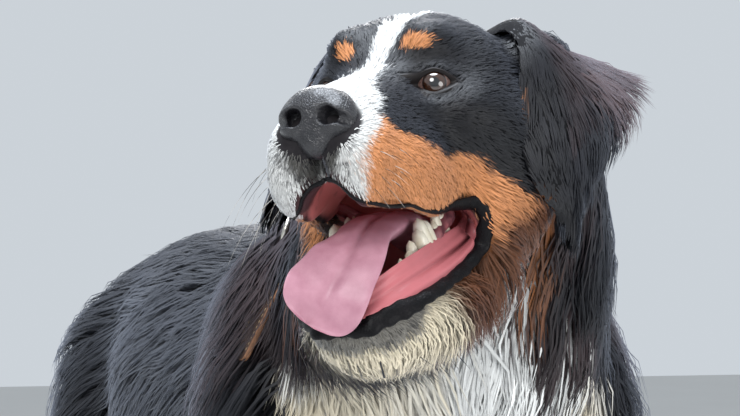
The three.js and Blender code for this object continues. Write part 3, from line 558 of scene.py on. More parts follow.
class Field:
    """A form read off a grid, so that its value and the way out of it come quickly for many points."""

    def __init__(self, form, low, high, cell):
        self.low = np.array(low, float)
        self.cell = cell
        self.counts = (np.ceil((np.array(high) - self.low) / cell) + 1).astype(int)
        values = in_chunks(form, lattice(self.low, self.counts, cell)).reshape(self.counts)
        slopes = np.gradient(values, cell)
        self.table = np.stack([values, *slopes], -1).astype(np.float32)

    def __call__(self, p):
        q = (p - self.low) / self.cell
        base = np.clip(np.floor(q).astype(int), 0, self.counts - 2)
        total = np.zeros((len(p), 4))
        for (i, j, k), weight in corners(base, np.clip(q - base, 0, 1)):
            total += weight[:, None] * self.table[i, j, k]
        return total[:, 0], unit(total[:, 1:])


LUMPS = 24
LATTICE = np.random.default_rng(5).random((LUMPS, LUMPS, LUMPS))


def noise(p, size, seed=0.0):
    """Smooth noise between -1 and 1 with lumps of that size; a seed moves the pattern."""
    q = np.asarray(p, float) / size + seed * 7.31
    cell = np.floor(q).astype(int)
    share = q - cell
    share = share * share * (3 - 2 * share)
    total = np.zeros(len(q))
    for places, weight in corners(cell, share):
        i, j, k = places % LUMPS
        total += weight * LATTICE[i, j, k]
    return total * 2 - 1


def noise_ways(p, size, seeds):
    """Noise in each of three directions."""
    return np.stack([noise(p, size, seed) for seed in seeds], 1)


def rise(value, low, high):
    """0 below low, 1 above high, smooth between."""
    t = np.clip((value - low) / (high - low), 0, 1)
    return t * t * (3 - 2 * t)


# Coat colours, in linear light
BLACK = np.array([0.0055, 0.0055, 0.0072])
WHITE = np.array([0.74, 0.74, 0.72])
CREAM = np.array([0.68, 0.59, 0.43])
RUST = np.array([0.60, 0.245, 0.095])
DARK_RUST = np.array([0.085, 0.026, 0.007])
EAR_BROWN = np.array([0.10, 0.055, 0.052])
LIP = np.array([0.016, 0.014, 0.016])
LID_BLACK = np.array([0.012, 0.0095, 0.0095])
PINK = np.array([0.62, 0.20, 0.19])
MOUSE = np.array([0.20, 0.185, 0.16])

# Brow spots of the left and the right side: place across and up, and their half sizes
BROW_SPOTS = ((26.3, 28.0, 10.0, 5.8), (23.0, 24.6, 6.8, 6.4))

# Edges of the head's markings: top of the rust and half width of the blaze by x, rear of the muzzle by z
RUST_TOP = through([(-130, -84), (-100, -76), (-62, -66), (-38, -58), (-28, -52),
                    (-2, -47), (32, -46), (54, -41), (74, -32)])
BLAZE_HALF = through([(-95, 8), (-70, 15), (-45, 12), (-20, 10), (-2, 8),
                      (9, 6), (25, 9), (45, 16), (60, 34), (70, 80)])
MUZZLE_REAR = through([(-95, 80), (-81, 84), (-70, 90), (-52, 88),
                       (-38, 76), (-20, 59), (-7, 46), (10, 20)])
# Edges on the chest, by height: reach of the bib to the left and to the right, and the black strand in it
BIB_LEFT = through([(300, 22), (360, 50), (430, 84), (490, 112), (530, 108),
                    (548, 98), (562, 72), (575, 44), (600, 30)])
BIB_RIGHT = through([(300, 26), (360, 54), (430, 86), (500, 106),
                     (549, 106), (575, 92), (600, 62), (700, 50)])
BIB_STRAND = through([(530, 74), (540, 67), (553, 58), (575, 46)])
LEG_RUST_TOP = 330


def lay(colour, over, share):
    """One colour laid over another by a share for each point."""
    return colour + (over - colour) * share[:, None]


def head_colour(q):
    """The coat's colour on the head, from places in the head's frame."""
    x, side, z = q[:, 0], q[:, 1], q[:, 2]
    y = np.abs(side)
    wander = 3.0 * noise(q, 14, 1) + 2.0 * noise(q, 5, 2)
    colour = np.tile(BLACK, (len(q), 1))
    jaw = in_jaw(q)
    on_jaw = rise(18 - jaw_full(jaw), 0, 6) * rise(head_full(q), -2, 4)
    # rust over the cheek, along the upper lip and round the corner of the mouth; towards the rear and the
    # bottom of the cheek it turns dark, partly the hair's own darker tips and partly painted shade
    rust = rise(RUST_TOP(x) - z + wander, -3, 3) * rise(y, 18, 26)
    rust = np.maximum(rust, on_jaw * rise(118 - jaw[:, 0] + wander * 2, -10, 10))
    # back: dark rust over the rear and lower cheek, partly darker hair and partly painted shade
    back = rise(-0.7 * x - 0.9 * z - 92 + noise(q, 20, 3) * 16, 0, 34)
    under = rise(9 - mouth_hollow(q) + noise(q, 5, 14) * 4, 0, 6)
    colour = lay(colour, RUST + (DARK_RUST - RUST) * (back * 0.96)[:, None], rust)
    colour = lay(colour, MOUSE * 0.3, rust * under * 0.9 * rise(x, -50, -20) * (1 - on_jaw))
    # brow spots
    left, right = (np.hypot((y - across) / wide, (z - up) / high) for across, up, wide, high in BROW_SPOTS)
    spot = np.where(side > 0, left, right)
    colour = lay(colour, RUST, rise(1.02 - spot + wander * 0.04, -0.08, 0.2) * rise(x, -12, -6))
    # white blaze and muzzle
    white = rise(BLAZE_HALF(x) - np.abs(side - 1.5) + wander * 0.7, -1.5, 2) * rise(z, -20, 0)
    muzzle = rise(x - MUZZLE_REAR(z) + 16 * (side < 0) * rise(-z, 30, 46) + wander, -3, 5) * (1 - on_jaw)
    white = np.maximum(white, muzzle)
    # pale chin, longer and creamier below
    chin = on_jaw * rise(jaw[:, 0] - 122 + wander * 2, -10, 10)
    beard = rise(-jaw[:, 2] + wander - 12 * rise(jaw[:, 0], 138, 160), 6, 15)
    colour = lay(colour, WHITE * 0.84, white)
    colour = lay(colour, lay(np.tile(MOUSE, (len(q), 1)), CREAM * 1.2, beard), chin)
    # dark hair under the nose and whisker specks beside it
    gap = np.hypot(y / 19, (z + 58) / 19)
    smut = rise(1.15 - gap + wander * 0.06, -0.1, 0.35) * rise(x, 74, 84) * (1 - on_jaw)
    colour = lay(colour, MOUSE * 0.22, smut * 0.95)
    speck = rise(noise(q, 3.0, 4), 0.1, 0.6)
    shade = np.maximum(muzzle * rise(-z, 44, 62) * rise(2.0 - gap, 0, 0.8), chin * (1 - beard) * 0.8)
    return lay(colour, BLACK * 2, speck * shade * 0.8)


def body_colour(p):
    """The coat's colour on neck, torso, legs and tail, from places in the dog's frame."""
    x, y, z = p.T
    wander = 14 * noise(p, 60, 5) + 7 * noise(p, 22, 6)
    fine = 4 * noise(p, 16, 7) + 2 * noise(p, 6, 8)
    colour = np.tile(BLACK, (len(p), 1))
    colour = lay(colour, EAR_BROWN, 0.3 * rise(-y, 120, 240) * rise(noise(p, 50, 15), -0.3, 0.7))
    # rust on the legs, with white toes
    leg = rise(LEG_RUST_TOP - z + wander, -8, 8) * rise(np.abs(x), 30, 45) * rise(z, -5, 0)
    colour = lay(colour, RUST * 0.9, leg * rise(300 - z, 0, 60))
    shin = rise(0.5 + 0.5 * noise(p, 40, 9), 0.2, 0.9)
    colour = lay(colour, DARK_RUST, leg * rise(z, 210, 300) * 0.7 * shin)
    toes = rise(52 - z + fine * 2, -5, 8) * rise(z, -5, 0)
    colour = lay(colour, WHITE, toes * leg)
    # white bib down the middle of the throat and chest, to between the forelegs
    bib = rise(np.minimum(BIB_LEFT(z) - x, x + BIB_RIGHT(z)) + wander * 0.35, -4, 4)
    bib *= rise(-y, 236, 258) * rise(z, 300, 340)
    bib *= 1 - rise(9 - np.abs(x - BIB_STRAND(z)) + fine, 0, 5) * rise(z, 522, 540)
    bib *= rise(-(p - NECK_FOOT) @ THROAT_BACK, 4, 26) * rise(598 - z + fine, 0, 12)
    warm = rise(noise(p, 45, 10), -0.4, 0.8)[:, None]
    colour = lay(colour, WHITE + (CREAM - WHITE) * warm, bib)
    # dark rust tufts where the bib meets the cheeks, partly the hair's own darker colour and partly painted
    # shade
    q = to_head(p)
    rear = np.where(q[:, 1] > 0, -158, -104)
    cheek = rise(-q[:, 2] + 0.2 * q[:, 0] + fine, 46, 60) * rise(q[:, 0] + fine * 1.5 - rear, 0, 16)
    cheek *= rise(z + fine, 594, 608)
    colour = lay(colour, RUST * 0.2 + DARK_RUST * 0.8, cheek * rise(np.abs(q[:, 1]) + fine, 10, 20))
    # the tail's white tip
    tip = rise(y, 400, 410) * rise(292 - z + wander * 0.6, -6, 8) * rise(60 - np.abs(x), 0, 20)
    return lay(colour, WHITE, tip)


def zone_of_head(p):
    """Above zero on the head's side of the cut between the head's grid and the body's."""
    q = to_head(p)
    return q[:, 0] + 0.35 * q[:, 2] + 122


def coat_colour(p):
    """The coat's colour anywhere, in the dog's frame."""
    share = rise(zone_of_head(p) + 5 * noise(p, 12, 11), -10, 14)
    return lay(body_colour(p), head_colour(to_head(p)), share)


# Meshes
def put(mesh, name, kind, field, values):
    """An attribute of the mesh with a value for each point."""
    if values is not None:
        data = mesh.attributes.new(name, kind, "POINT").data
        data.foreach_set(field, np.asarray(values, np.float32).ravel())


def mesh_object(name, points, faces, colours=None, uv=None, strand=None, wet=None, smooth=True,
                normals=None):
    """An object from millimetre points in the dog's frame and triangles or four-sided faces."""
    mesh = bpy.data.meshes.new(name)
    sides = faces.shape[1]
    mesh.vertices.add(len(points))
    mesh.vertices.foreach_set("co", ((points + SHIFT) / 1000).astype(np.float32).ravel())
    mesh.loops.add(faces.size)
    mesh.loops.foreach_set("vertex_index", faces.astype(np.int32).ravel())
    mesh.polygons.add(len(faces))
    mesh.polygons.foreach_set("loop_start", np.arange(0, faces.size, sides, dtype=np.int32))
    mesh.update(calc_edges=True)
    rgba = None if colours is None else np.append(colours, np.ones((len(points), 1)), 1)
    put(mesh, "coat", "FLOAT_COLOR", "color", rgba)
    put(mesh, "strand", "FLOAT_VECTOR", "vector", strand)
    put(mesh, "wet", "FLOAT", "value", wet)
    if uv is not None:
        layer = mesh.uv_layers.new(name="OFBake")
        layer.data.foreach_set("uv", uv[faces.ravel()].astype(np.float32).ravel())
    mesh.polygons.foreach_set("use_smooth", np.full(len(faces), smooth))
    mesh.validate()
    put(mesh, "custom_normal", "FLOAT_VECTOR", "vector", normals)
    obj = bpy.data.objects.new(name, mesh)
    bpy.context.scene.collection.objects.link(obj)
    return obj


def tube_faces(rings, sides, closed=True):
    """Faces between rings of points, with the last ring joined to the first if closed."""
    faces = []
    for r in range(rings if closed else rings - 1):
        a, b = r * sides, ((r + 1) % rings) * sides
        for i in range(sides):
            k = (i + 1) % sides
            faces.append((a + i, a + k, b + k, b + i))
    return np.array(faces)


def triangles(quads):
    """Four-sided faces cut in two."""
    return np.concatenate([quads[:, [0, 1, 2]], quads[:, [0, 2, 3]]])


def joined(pieces):
    """Several (points, faces) as one."""
    offset = 0
    points, faces = [], []
    for p, f in pieces:
        points.append(p)
        faces.append(f + offset)
        offset += len(p)
    return np.concatenate(points), np.concatenate(faces)


# Fine forms and pieces of the head
def cast_out(form, start, ways, low, high, rounds=14):
    """How far along each way the form's surface lies, found between two distances."""
    near = np.full(len(ways), float(low))
    far = np.full(len(ways), float(high))
    for _ in range(rounds):
        middle = (near + far) / 2
        inside = form(start + ways * middle[:, None]) < 0
        near = np.where(inside, middle, near)
        far = np.where(inside, far, middle)
    return (near + far) / 2


def smooth_path(points):
    """A curve through points, read by a share from 0 to 1, with its direction."""
    points = np.array(points, float)
    lengths = np.concatenate([[0], np.cumsum(np.linalg.norm(np.diff(points, axis=0), axis=1))])
    shares = lengths / lengths[-1]
    curves = [through(list(zip(shares, points[:, i]))) for i in range(3)]

    def read(t):
        t = np.asarray(t, float)
        at = np.stack([c(t) for c in curves], -1)
        step = 0.01
        way = np.stack([c(np.clip(t + step, 0, 1)) - c(np.clip(t - step, 0, 1)) for c in curves], -1)
        return at, unit(way)

    return read


def oval_rings(at, across, out, wide, thick, sides=16):
    """Rings of an oval section along a path."""
    angle = np.linspace(0, 2 * np.pi, sides, endpoint=False)
    c, s = np.cos(angle)[None, :, None], np.sin(angle)[None, :, None]
    return at[:, None] + across[:, None] * wide[:, None, None] * c + out[:, None] * thick[:, None, None] * s


def capped(rings):
    """Points and triangles of a skin over rings, closed to a point at both ends."""
    count, sides = rings.shape[:2]
    points = np.concatenate([rings.reshape(-1, 3), rings[0].mean(0)[None], rings[-1].mean(0)[None]])
    faces = triangles(tube_faces(count, sides, closed=False))
    i = np.arange(sides)
    k = (i + 1) % sides
    first, last = count * sides, count * sides + 1
    top = (count - 1) * sides
    ends = np.concatenate([
        np.stack([np.full(sides, first), k, i], 1),
        np.stack([np.full(sides, last), top + i, top + k], 1),
    ])
    return points, np.concatenate([faces, ends])


def rod(*rings):
    """A closed rod of oval section along a path."""
    return capped(oval_rings(*rings))


def bent_rod(line, up, wide, thick, sides):
    """A rod along a bent line, its thickness towards one way."""
    run = unit(np.gradient(line, axis=0))
    across = unit(np.cross(run, up))
    return rod(line, across, np.cross(across, run), wide, thick, sides)


# Eyes: the opening between the lids is an almond, wider above than below
LID = {"wide": 10.8, "above": 7.2, "below": 5.8, "corner": 1.55, "rim": 1.6, "outer": 68, "rows": 18,
       "sides": 88}
EYE_STEPS = 64


def eye_basis(side):
    """The eye's own directions: out of it, towards the outer corner, and up."""
    axis = eye_axis(side)
    up = np.array([0.0, 0.0, 1.0])
    outer = np.cross(up, axis) * side
    tilt = math.radians(LID_TILT)
    return axis, outer * math.cos(tilt) + up * math.sin(tilt), up * math.cos(tilt) - outer * math.sin(tilt)


def lid_patch(side):
    """The lids round one eye, from their rim out to the skin of the face, with their colour."""
    axis, outer, up = eye_basis(side)
    centre = eye_centre(side)
    turn_at = np.linspace(0, 2 * np.pi, LID["sides"], endpoint=False)
    c, s = np.cos(turn_at), np.sin(turn_at)
    high = np.where(s > 0, LID["above"], LID["below"])
    power = LID["corner"]
    reach = ((np.abs(c) / LID["wide"]) ** power + (np.abs(s) / high) ** power) ** (-1 / power)
    rim = np.arcsin(np.clip(reach / (EYE_R + 0.3), 0, 0.95))
    flat = outer * c[:, None] + up * s[:, None]
    rings, near_rim = [], []

    def ring(angle, distance):
        ways = axis * np.cos(angle)[:, None] + flat * np.sin(angle)[:, None]
        return centre + ways * np.asarray(distance)[:, None], ways

    for more, high in ((0, 0.15), (0.01, 1.1), (0.05, LID["rim"])):
        rings.append(ring(rim + more, np.full(len(c), EYE_R + high))[0])
        near_rim.append(np.ones(len(c)))
    last = math.radians(LID["outer"])
    for share in np.linspace(0.07, 1, LID["rows"]) ** 1.25:
        angle = rim + 0.05 + (np.maximum(last - rim, 0.16) - 0.05) * share
        _, ways = ring(angle, np.ones(len(c)))
        distance = cast_out(head_flesh, centre, ways, EYE_R + 0.4, 34)
        past = np.degrees(angle - rim)
        crease = 0.9 * np.exp(-(((past - 13) / 3.2) ** 2)) * rise(s, 0.1, 0.5)
        bag = 0.6 * np.exp(-(((past - 11) / 3.0) ** 2)) * rise(-s, 0.1, 0.5)
        rings.append(centre + ways * (distance - crease - bag)[:, None])
        near_rim.append(1 - rise(past, 4, 13))
    rings = np.stack(rings)
    faces = tube_faces(len(rings), len(c), closed=False)
    if side < 0:
        faces = faces[:, ::-1]
    return from_head(rings.reshape(-1, 3)), faces, np.concatenate(near_rim)


def eyeball(side):
    """An eyeball with its cornea, and for each point its angle from the axis and round it."""
    axis, outer, up = eye_basis(side)
    tilt = np.linspace(0.004, np.pi - 0.3, EYE_STEPS)
    turn_at = np.linspace(0, 2 * np.pi, EYE_STEPS, endpoint=False)
    c, s = np.cos(turn_at)[None, :, None], np.sin(turn_at)[None, :, None]
    ways = axis * np.cos(tilt)[:, None, None] + (outer * c + up * s) * np.sin(tilt)[:, None, None]
    cornea = 0.55 * np.clip(1 - (np.degrees(tilt) / 36) ** 2, 0, 1) ** 1.5
    rings = eye_centre(side) + ways * (EYE_R - 0.1 + cornea)[:, None, None]
    points, faces = capped(rings)
    angle = np.degrees(np.append(np.repeat(tilt, EYE_STEPS), (0, 170)))
    round_it = np.append(np.tile(turn_at, EYE_STEPS), (0, 0))
    strand = np.stack([angle / 60, np.cos(round_it), np.sin(round_it)], 1)
    return from_head(points), faces, strand


def nose_form(q):
    """The nose leather with its nostrils and the groove down to the lip, in the head's frame."""
    body = blend(
        [
            ellipsoid((88, 0, -32), (17.5, 24.5, 18.5)),
            *both(lambda s: ellipsoid((91, s * 14.5, -38), (15.5, 11.5, 12.5))),
            ellipsoid((90, 0, -49), (13, 13, 13)),
        ],
        6,
    )
    cuts = [
        *both(lambda s: limb((111, s * 10.5, -36), (96, s * 13, -36), 6.8, 4.5)),
        *both(lambda s: limb((107, s * 14, -36.5), (99, s * 24, -38.5), 4.8, 2.8)),
        *both(lambda s: limb((99, s * 22, -39), (91, s * 29, -42), 2.2, 1.2)),
        limb((109.5, 0, -42), (106, 0, -68), 1.1, 1.3),
    ]
    return carve(body, cuts, 2.2)(q) + 0.4


# Lips: the margin of the mouth from the notch under the nose to its corner, then the lower lip to the chin
UPPER_LIP = {
    1: [(93, 3, -76), (92, 9, -79), (90, 16, -84), (85, 25, -89),
        (76, 31, -91), (62, 36, -92), (40, 41, -89)],
    -1: [(93, 2, -76), (89, -5, -83), (84, -12, -88), (77, -20, -91),
         (67, -29, -93), (54, -35, -93), (38, -41, -89)],
}
LIP_REST = [
    (14, 46, -88), (-14, 50, -80), (-31, 54, -75), (-39, 56, -80), (-40, 55, -92),
    (-35, 53, -103), (-20, 50, -115), (0, 48, -126), (20, 45, -136), (40, 38, -148),
    (54, 25, -158), (60, 9, -163), (61, 0, -164),
]
LIP_WIDE = [(0, 1.6), (0.2, 1.5), (0.3, 1.6), (0.38, 3.6), (0.46, 5.0),
            (0.55, 5.2), (0.7, 5.0), (0.85, 6.6), (1, 6.4)]
LIP_THICK = [(0, 1.2), (0.25, 1.4), (0.4, 2.2), (0.52, 2.6), (0.7, 2.6), (1, 2.8)]


def lip_path(side):
    """One side's margin of the mouth as a curve."""
    return smooth_path(UPPER_LIP[side] + [(x, y * side, z) for x, y, z in LIP_REST])


def lip_line(side, t):
    """The margin at shares t, laid on the flesh and smoothed."""
    at, _ = lip_path(side)(t)
    for _ in range(3):
        at = settle(head_flesh, at, 0.9, 2.0)
    for _ in range(3):
        at[1:-1] = (at[:-2] + 2 * at[1:-1] + at[2:]) / 4
    return at


def lip_band(side):
    """One side's lips as a band along the margin, fuller and notched round the corner and below."""
    t = np.linspace(0, 1, 220)
    at = lip_line(side, t)
    along = unit(np.gradient(at, axis=0))
    out = unit(slope_of(head_flesh, at, 3.0))
    across = unit(np.cross(along, out))
    out = np.cross(across, along)
    notch = 1 + 0.09 * np.sin(t * 170) * rise(t, 0.42, 0.5) + 0.08 * np.sin(t * 61)
    wide = through(LIP_WIDE)(t) * notch
    thick = through(LIP_THICK)(t) * (1 + 0.12 * np.sin(t * 97 + 1))
    return rod(at, across, out, wide, thick)


# Lining of the cheek: from the lips inwards to the gums and the back of the mouth
LINING_INNER = [
    (20, 33, -72), (-5, 34, -71), (-30, 34, -72), (-52, 34, -76), (-46, 35, -83), (-25, 36, -92),
    (-3, 36, -101), (17, 35, -110), (34, 31, -119), (48, 21, -131), (54, 8, -141), (55, 0, -143),
]


def lining_points(side):
    """A sheet with a rolled fold by the lips and a crease behind it, and how deep each point lies, which
    sets the painted shade in the crease.
    """
    steps = 180
    t = np.linspace(0.27, 1, steps)
    lip = lip_line(side, t) + np.array([0, -side * 1.5, 0])
    inner = smooth_path(np.array(LINING_INNER) * (1, side, 1))(np.linspace(0, 1, steps))[0]
    along = unit(np.gradient(lip, axis=0))
    away = (inner - lip) * rise(t, 0.26, 0.36)[:, None]
    out = unit(np.cross(along, away)) * side
    out = np.where((out @ np.array([0, side, 0]))[:, None] < 0, -out, out)
    s = np.linspace(0, 1, 44)
    corner = np.exp(-(((t - 0.52) / 0.16) ** 2))
    full = (0.5 + 0.5 * corner) * rise(t, 0.46, 0.6)
    roll = 3.4 * np.exp(-(((s - 0.24) / 0.12) ** 2))[None] * full[:, None]
    crease = 3.6 * np.exp(-(((s - 0.5) / 0.06) ** 2))[None] * (0.2 + 0.8 * corner)[:, None]
    folds = 0.25 * np.sin(s * 26 + t[:, None] * 14)
    sink = 0.6 * np.sin(np.pi * np.clip((s - 0.4) / 0.6, 0, 1))[None]
    high = roll - crease + folds * rise(s, 0.3, 0.5)[None] - sink
    sheet = lip[:, None] + away[:, None] * s[None, :, None] + out[:, None] * high[..., None]
    back = sheet - out[:, None] * 1.2
    rings = np.concatenate([sheet, back[:, ::-1]], 1)
    if side > 0:
        rings = rings[:, ::-1]
    # painted shade: darker deep in the crease and towards the corner of the mouth
    deep = np.clip(crease / 2.6, 0, 1) * (0.3 + 0.7 * corner)[:, None]
    deep = np.concatenate([deep, deep[:, ::-1]], 1)
    points, faces = capped(rings)
    return points, faces, np.append(deep.ravel(), (0, 0))


# Teeth of the lower jaw: place along it, half gap between the rows, height of the tip, half length, cusps
LOWER_TEETH = [
    (165, 16, 24, 5.0, (0.0,)),
    (148, 23, 21, 4.8, (0.0,)),
    (135, 27, 22, 6.0, (0.25, -0.45)),
    (120, 29, 23, 7.6, (0.35, -0.4)),
    (101, 31, 26, 10.6, (0.5, 0.02, -0.5)),
    (83, 32, 23, 6.6, (0.45, -0.4)),
    (72, 32, 21, 5.0, (0.0,)),
]
TOOTH_HIGH = 21
CUSP_SHARE = {1: 1.0, 2: 0.72, 3: 0.56}


def teeth_points():
    """Cusps as leaning cones with a swollen foot, in the head's frame."""
    pieces = []
    t = np.linspace(0, 1, 9)
    profile = np.sqrt(1 - t**5) * (1 - 0.16 * t)
    across, out = (np.tile(way, (len(t), 1)) for way in ([1.0, 0, 0], [0, -1.0, 0]))
    for x, y, tip, half, cusps in LOWER_TEETH:
        wide = np.maximum(half * CUSP_SHARE[len(cusps)] * profile, 0.25)
        thick = np.maximum(half * 0.56 * profile, 0.2)
        for side in (1, -1):
            for k, cusp in enumerate(cusps):
                high = TOOTH_HIGH * (half / 8) ** 0.5 * (1 - 0.2 * abs(k - len(cusps) // 2))
                foot = np.array([x + cusp * half, side * y, tip - TOOTH_HIGH])
                lean = np.array([-2.5 * t**2, -side * 1.5 * t, high * t]).T
                points, faces = rod(foot + lean, across, out, wide, thick, 14)
                pieces.append((from_jaw(points), faces))
    return joined(pieces)


def gum_points():
    """A ridge of gum that the teeth stand in, round the front of the jaw, in the head's frame."""
    path = [(60, 30, 7), (90, 30, 8), (115, 28, 8), (140, 24, 8), (158, 17, 9), (168, 8, 9), (170, 0, 9)]
    path += [(x, -y, z) for x, y, z in path[-2::-1]]
    t = np.linspace(0, 1, 140)
    at, along = smooth_path(path)(t)
    across = unit(np.cross(along, (0, 0, 1.0)))
    scallop = 1 + 0.1 * np.sin(t * 70)
    points, faces = rod(at, across, np.cross(across, along), 6.2 * scallop, 5.6 * scallop, 14)
    return from_jaw(points), faces


# Tongue: over the floor of the jaw, past the right lower lip and down in front of the chin
TONGUE_PATH = [(-52, 2, -90), (-10, 4, -89), (24, 4, -99), (49, 3, -118), (64, -5, -141), (68, -18, -161)]
TONGUE_HALF = [(0, 19), (0.3, 19), (0.5, 19), (0.62, 21.5), (0.75, 25.5),
               (0.88, 27), (0.95, 24), (0.985, 16), (1, 5)]
TONGUE_THICK = [(0, 11), (0.4, 9), (0.7, 6.5), (0.9, 4.6), (1, 1.6)]


def tongue_points():
    """The tongue with its middle groove, raised edges, ripples and folds, in the head's frame."""
    t = 1 - (1 - np.linspace(0, 1, 90)) ** 1.3
    at, way = smooth_path(TONGUE_PATH)(t)
    lean = np.stack([-0.5 * t, np.ones_like(t), 0 * t], 1)
    across = unit(lean - way * (lean * way).sum(1, keepdims=True))
    up = np.cross(way, across)
    angle = np.linspace(0, 2 * np.pi, 56, endpoint=False)
    c, s = np.cos(angle)[None], np.sin(angle)[None]
    half = through(TONGUE_HALF)(t)[:, None]
    thick = through(TONGUE_THICK)(t)[:, None]
    top = rise(s, -0.1, 0.3)
    deep = rise(t, 0.1, 0.3)[:, None]
    groove = top * 3.0 * np.exp(-((c / 0.12) ** 2)) * deep * (1 - 0.6 * rise(t, 0.75, 1)[:, None])
    cup = 4.0 * c * c * (0.4 + t[:, None])
    folds = top * 0.35 * np.sin(t[:, None] * 70 + 2.2 * c) * (1 - t[:, None])
    wave_edge = 0.9 * np.sin(t[:, None] * 22 + 1.3 * np.sign(c)) * c * c
    high = thick * s * np.sqrt(1 - 0.45 * c**4) - groove + cup + folds + wave_edge
    wide = half * c * (1 + 0.02 * np.sin(t[:, None] * 31))
    rings = at[:, None] + across[:, None] * wide[..., None] + up[:, None] * high[..., None]
    return capped(rings)


# Materials
class Shader:
    """A small helper that writes the nodes of one material."""

    def __init__(self, name, **values):
        self.material = bpy.data.materials.new(name)
        self.material.use_nodes = True
        self.nodes = self.material.node_tree.nodes
        self.links = self.material.node_tree.links
        self.surface = self.nodes["Principled BSDF"]
        for key, value in values.items():
            self.surface.inputs[key.replace("_", " ")].default_value = value

    def node(self, kind, inputs=None, **settings):
        made = self.nodes.new("ShaderNode" + kind)
        for key, value in settings.items():
            setattr(made, key, value)
        for key, value in (inputs or {}).items():
            self.feed(value, made.inputs[key])
        return made

    def feed(self, value, socket):
        """A link from an output, or a constant."""
        if hasattr(value, "links"):
            self.links.new(value, socket)
        else:
            socket.default_value = value

    def set(self, **values):
        for key, value in values.items():
            self.feed(value, self.surface.inputs[key.replace("_", " ")])

    def attribute(self, name):
        return self.node("Attribute", attribute_name=name)

    def noise(self, scale, detail=3.0, where=None):
        inputs = {"Scale": scale, "Detail": detail}
        if where is not None:
            inputs["Vector"] = where
        return self.node("TexNoise", inputs).outputs["Fac"]

    def remap(self, value, a, b, c=0.0, d=1.0):
        """A value that runs from c to d while the given one runs from a to b."""
        return self.node("MapRange", {0: value, 1: a, 2: b, 3: c, 4: d}).outputs[0]

    def tint(self, colour, factor):
        """A colour made lighter or darker by a factor."""
        mixed = self.node("VectorMath", {0: colour}, operation="SCALE")
        self.feed(factor, mixed.inputs["Scale"])
        return mixed.outputs[0]

    def mix(self, factor, a, b):
        made = self.node("Mix", data_type="RGBA")
        self.feed(factor, made.inputs[0])
        self.feed(a, made.inputs[6])
        self.feed(b, made.inputs[7])
        return made.outputs[2]

    def bump(self, height, strength, distance=0.001):
        bump = self.node("Bump", {"Strength": strength, "Distance": distance, "Height": height})
        self.links.new(bump.outputs[0], self.surface.inputs["Normal"])

    def place(self):
        return self.node("TexCoord").outputs["Object"]


def coat_material(name, roughness, sheen, level):
    s = Shader(name, Roughness=roughness, Specular_IOR_Level=level, Sheen_Weight=sheen, Sheen_Roughness=0.4,
               Sheen_Tint=(0.75, 0.82, 1.0, 1))
    colour = s.attribute("coat").outputs["Color"]
    strand = s.attribute("strand").outputs["Vector"]
    stretched = s.node("Mapping", {"Vector": strand, "Scale": (5.0, 0.7, 1.0)}).outputs[0]
    hairs = s.noise(1.6, 2.0, stretched)
    s.set(Base_Color=s.tint(colour, s.remap(hairs, 0.25, 0.75, 0.82, 1.18)))
    s.bump(hairs, 0.25, 0.0005)
    return s.material


def skin_material():
    s = Shader("skin", Specular_IOR_Level=0.2)
    colour = s.attribute("coat").outputs["Color"]
    wet = s.attribute("wet").outputs["Fac"]
    place = s.place()
    lumps = s.mix(wet, s.noise(260, 4.0, place), s.remap(s.noise(70, 3.0, place), 0.0, 1.0, 0.42, 0.6))
    s.set(Base_Color=s.tint(colour, s.remap(lumps, 0.3, 0.7, 0.7, 1.15)))
    s.set(Roughness=s.remap(wet, 0.0, 1.0, 0.8, 0.3))
    s.bump(lumps, 0.5, 0.0008)
    return s.material


# The skin
def face_centres(points, faces):
    """The middle of each face."""
    return points[faces].mean(1)


def kept(points, faces, keep):
    """Only some of the faces, with the points that they use."""
    faces = faces[keep]
    used, index = np.unique(faces, return_inverse=True)
    return points[used], index.reshape(faces.shape)


def head_total(q):
    """The whole dog without its ears, from places in the head's frame."""
    return body_flesh(from_head(q))


# The hole in the skin for each eye's lids: its angle from the eye's axis and its reach
EYE_HOLE = (math.radians(58), 32)


def skin_parts():
    """The head, the body and the four feet, each on a grid of its own, meeting along hidden cuts."""
    parts = []
    angle, reach = EYE_HOLE
    points, faces = surface(head_total, *HEAD_BOX, HEAD_CELL)
    for side in (1, -1):
        away = face_centres(points, faces) - eye_centre(side)
        far = np.linalg.norm(away, axis=1)
        points, faces = kept(points, faces, (away @ eye_axis(side) < far * math.cos(angle)) | (far > reach))
    points = from_head(points)
    parts.append(kept(points, faces, zone_of_head(face_centres(points, faces)) > -4))
    points, faces = surface(body_flesh, *BODY_BOX, BODY_CELL)
    centres = face_centres(points, faces)
    parts.append(kept(points, faces, (zone_of_head(centres) < 2) & (centres[:, 2] > PAW_TOP - 3)))
    for side in (1, -1):
        for x, y in (FRONT_PAW, HIND_PAW):
            low, high = (side * x - 62, y - 74, -3), (side * x + 62, y + 96, PAW_TOP + 8)
            points, faces = surface(body_flesh, low, high, FOOT_CELL)
            parts.append(kept(points, faces, face_centres(points, faces)[:, 2] < PAW_TOP))
    return parts


def mouth_wet(p):
    """How far each place lies inside the mouth, and how far inside it or on its margin, from 0 to 1."""
    hollow = mouth_hollow(to_head(p))
    zone = rise(zone_of_head(p), 0, 10)
    return rise(4.5 - hollow, 0, 3) * zone, rise(9 - hollow, 0, 4) * zone


def skin_colour(p):
    """The skin's colour: the coat's own a little darker as painted shade under the coat, black round nose
    and mouth, and pink inside.
    """
    q = to_head(p)
    # painted shade: the skin under the coat is the coat's colour darkened, for the depth of the coat
    colour = coat_colour(p) * 0.8
    inside, lips = mouth_wet(p)
    blotch = rise(noise(p, 9, 12) + 0.6 * noise(p, 4, 13), 0.25, 0.6)
    colour = lay(colour, LIP, lips)
    nose_away = np.linalg.norm((q - (NOSE[0] - 2, 0, NOSE[2] - 3)) / (1, 1.2, 1), axis=1)
    colour = lay(colour, LIP, rise(27 - nose_away, 0, 3))
    front = rise(q[:, 0] + 6 * noise(p, 12, 16), 52, 76)
    lining = lay(PINK * (1 - 0.25 * blotch[:, None]), LIP, front * 0.94)
    return lay(colour, lining, np.maximum(inside, lips * front))


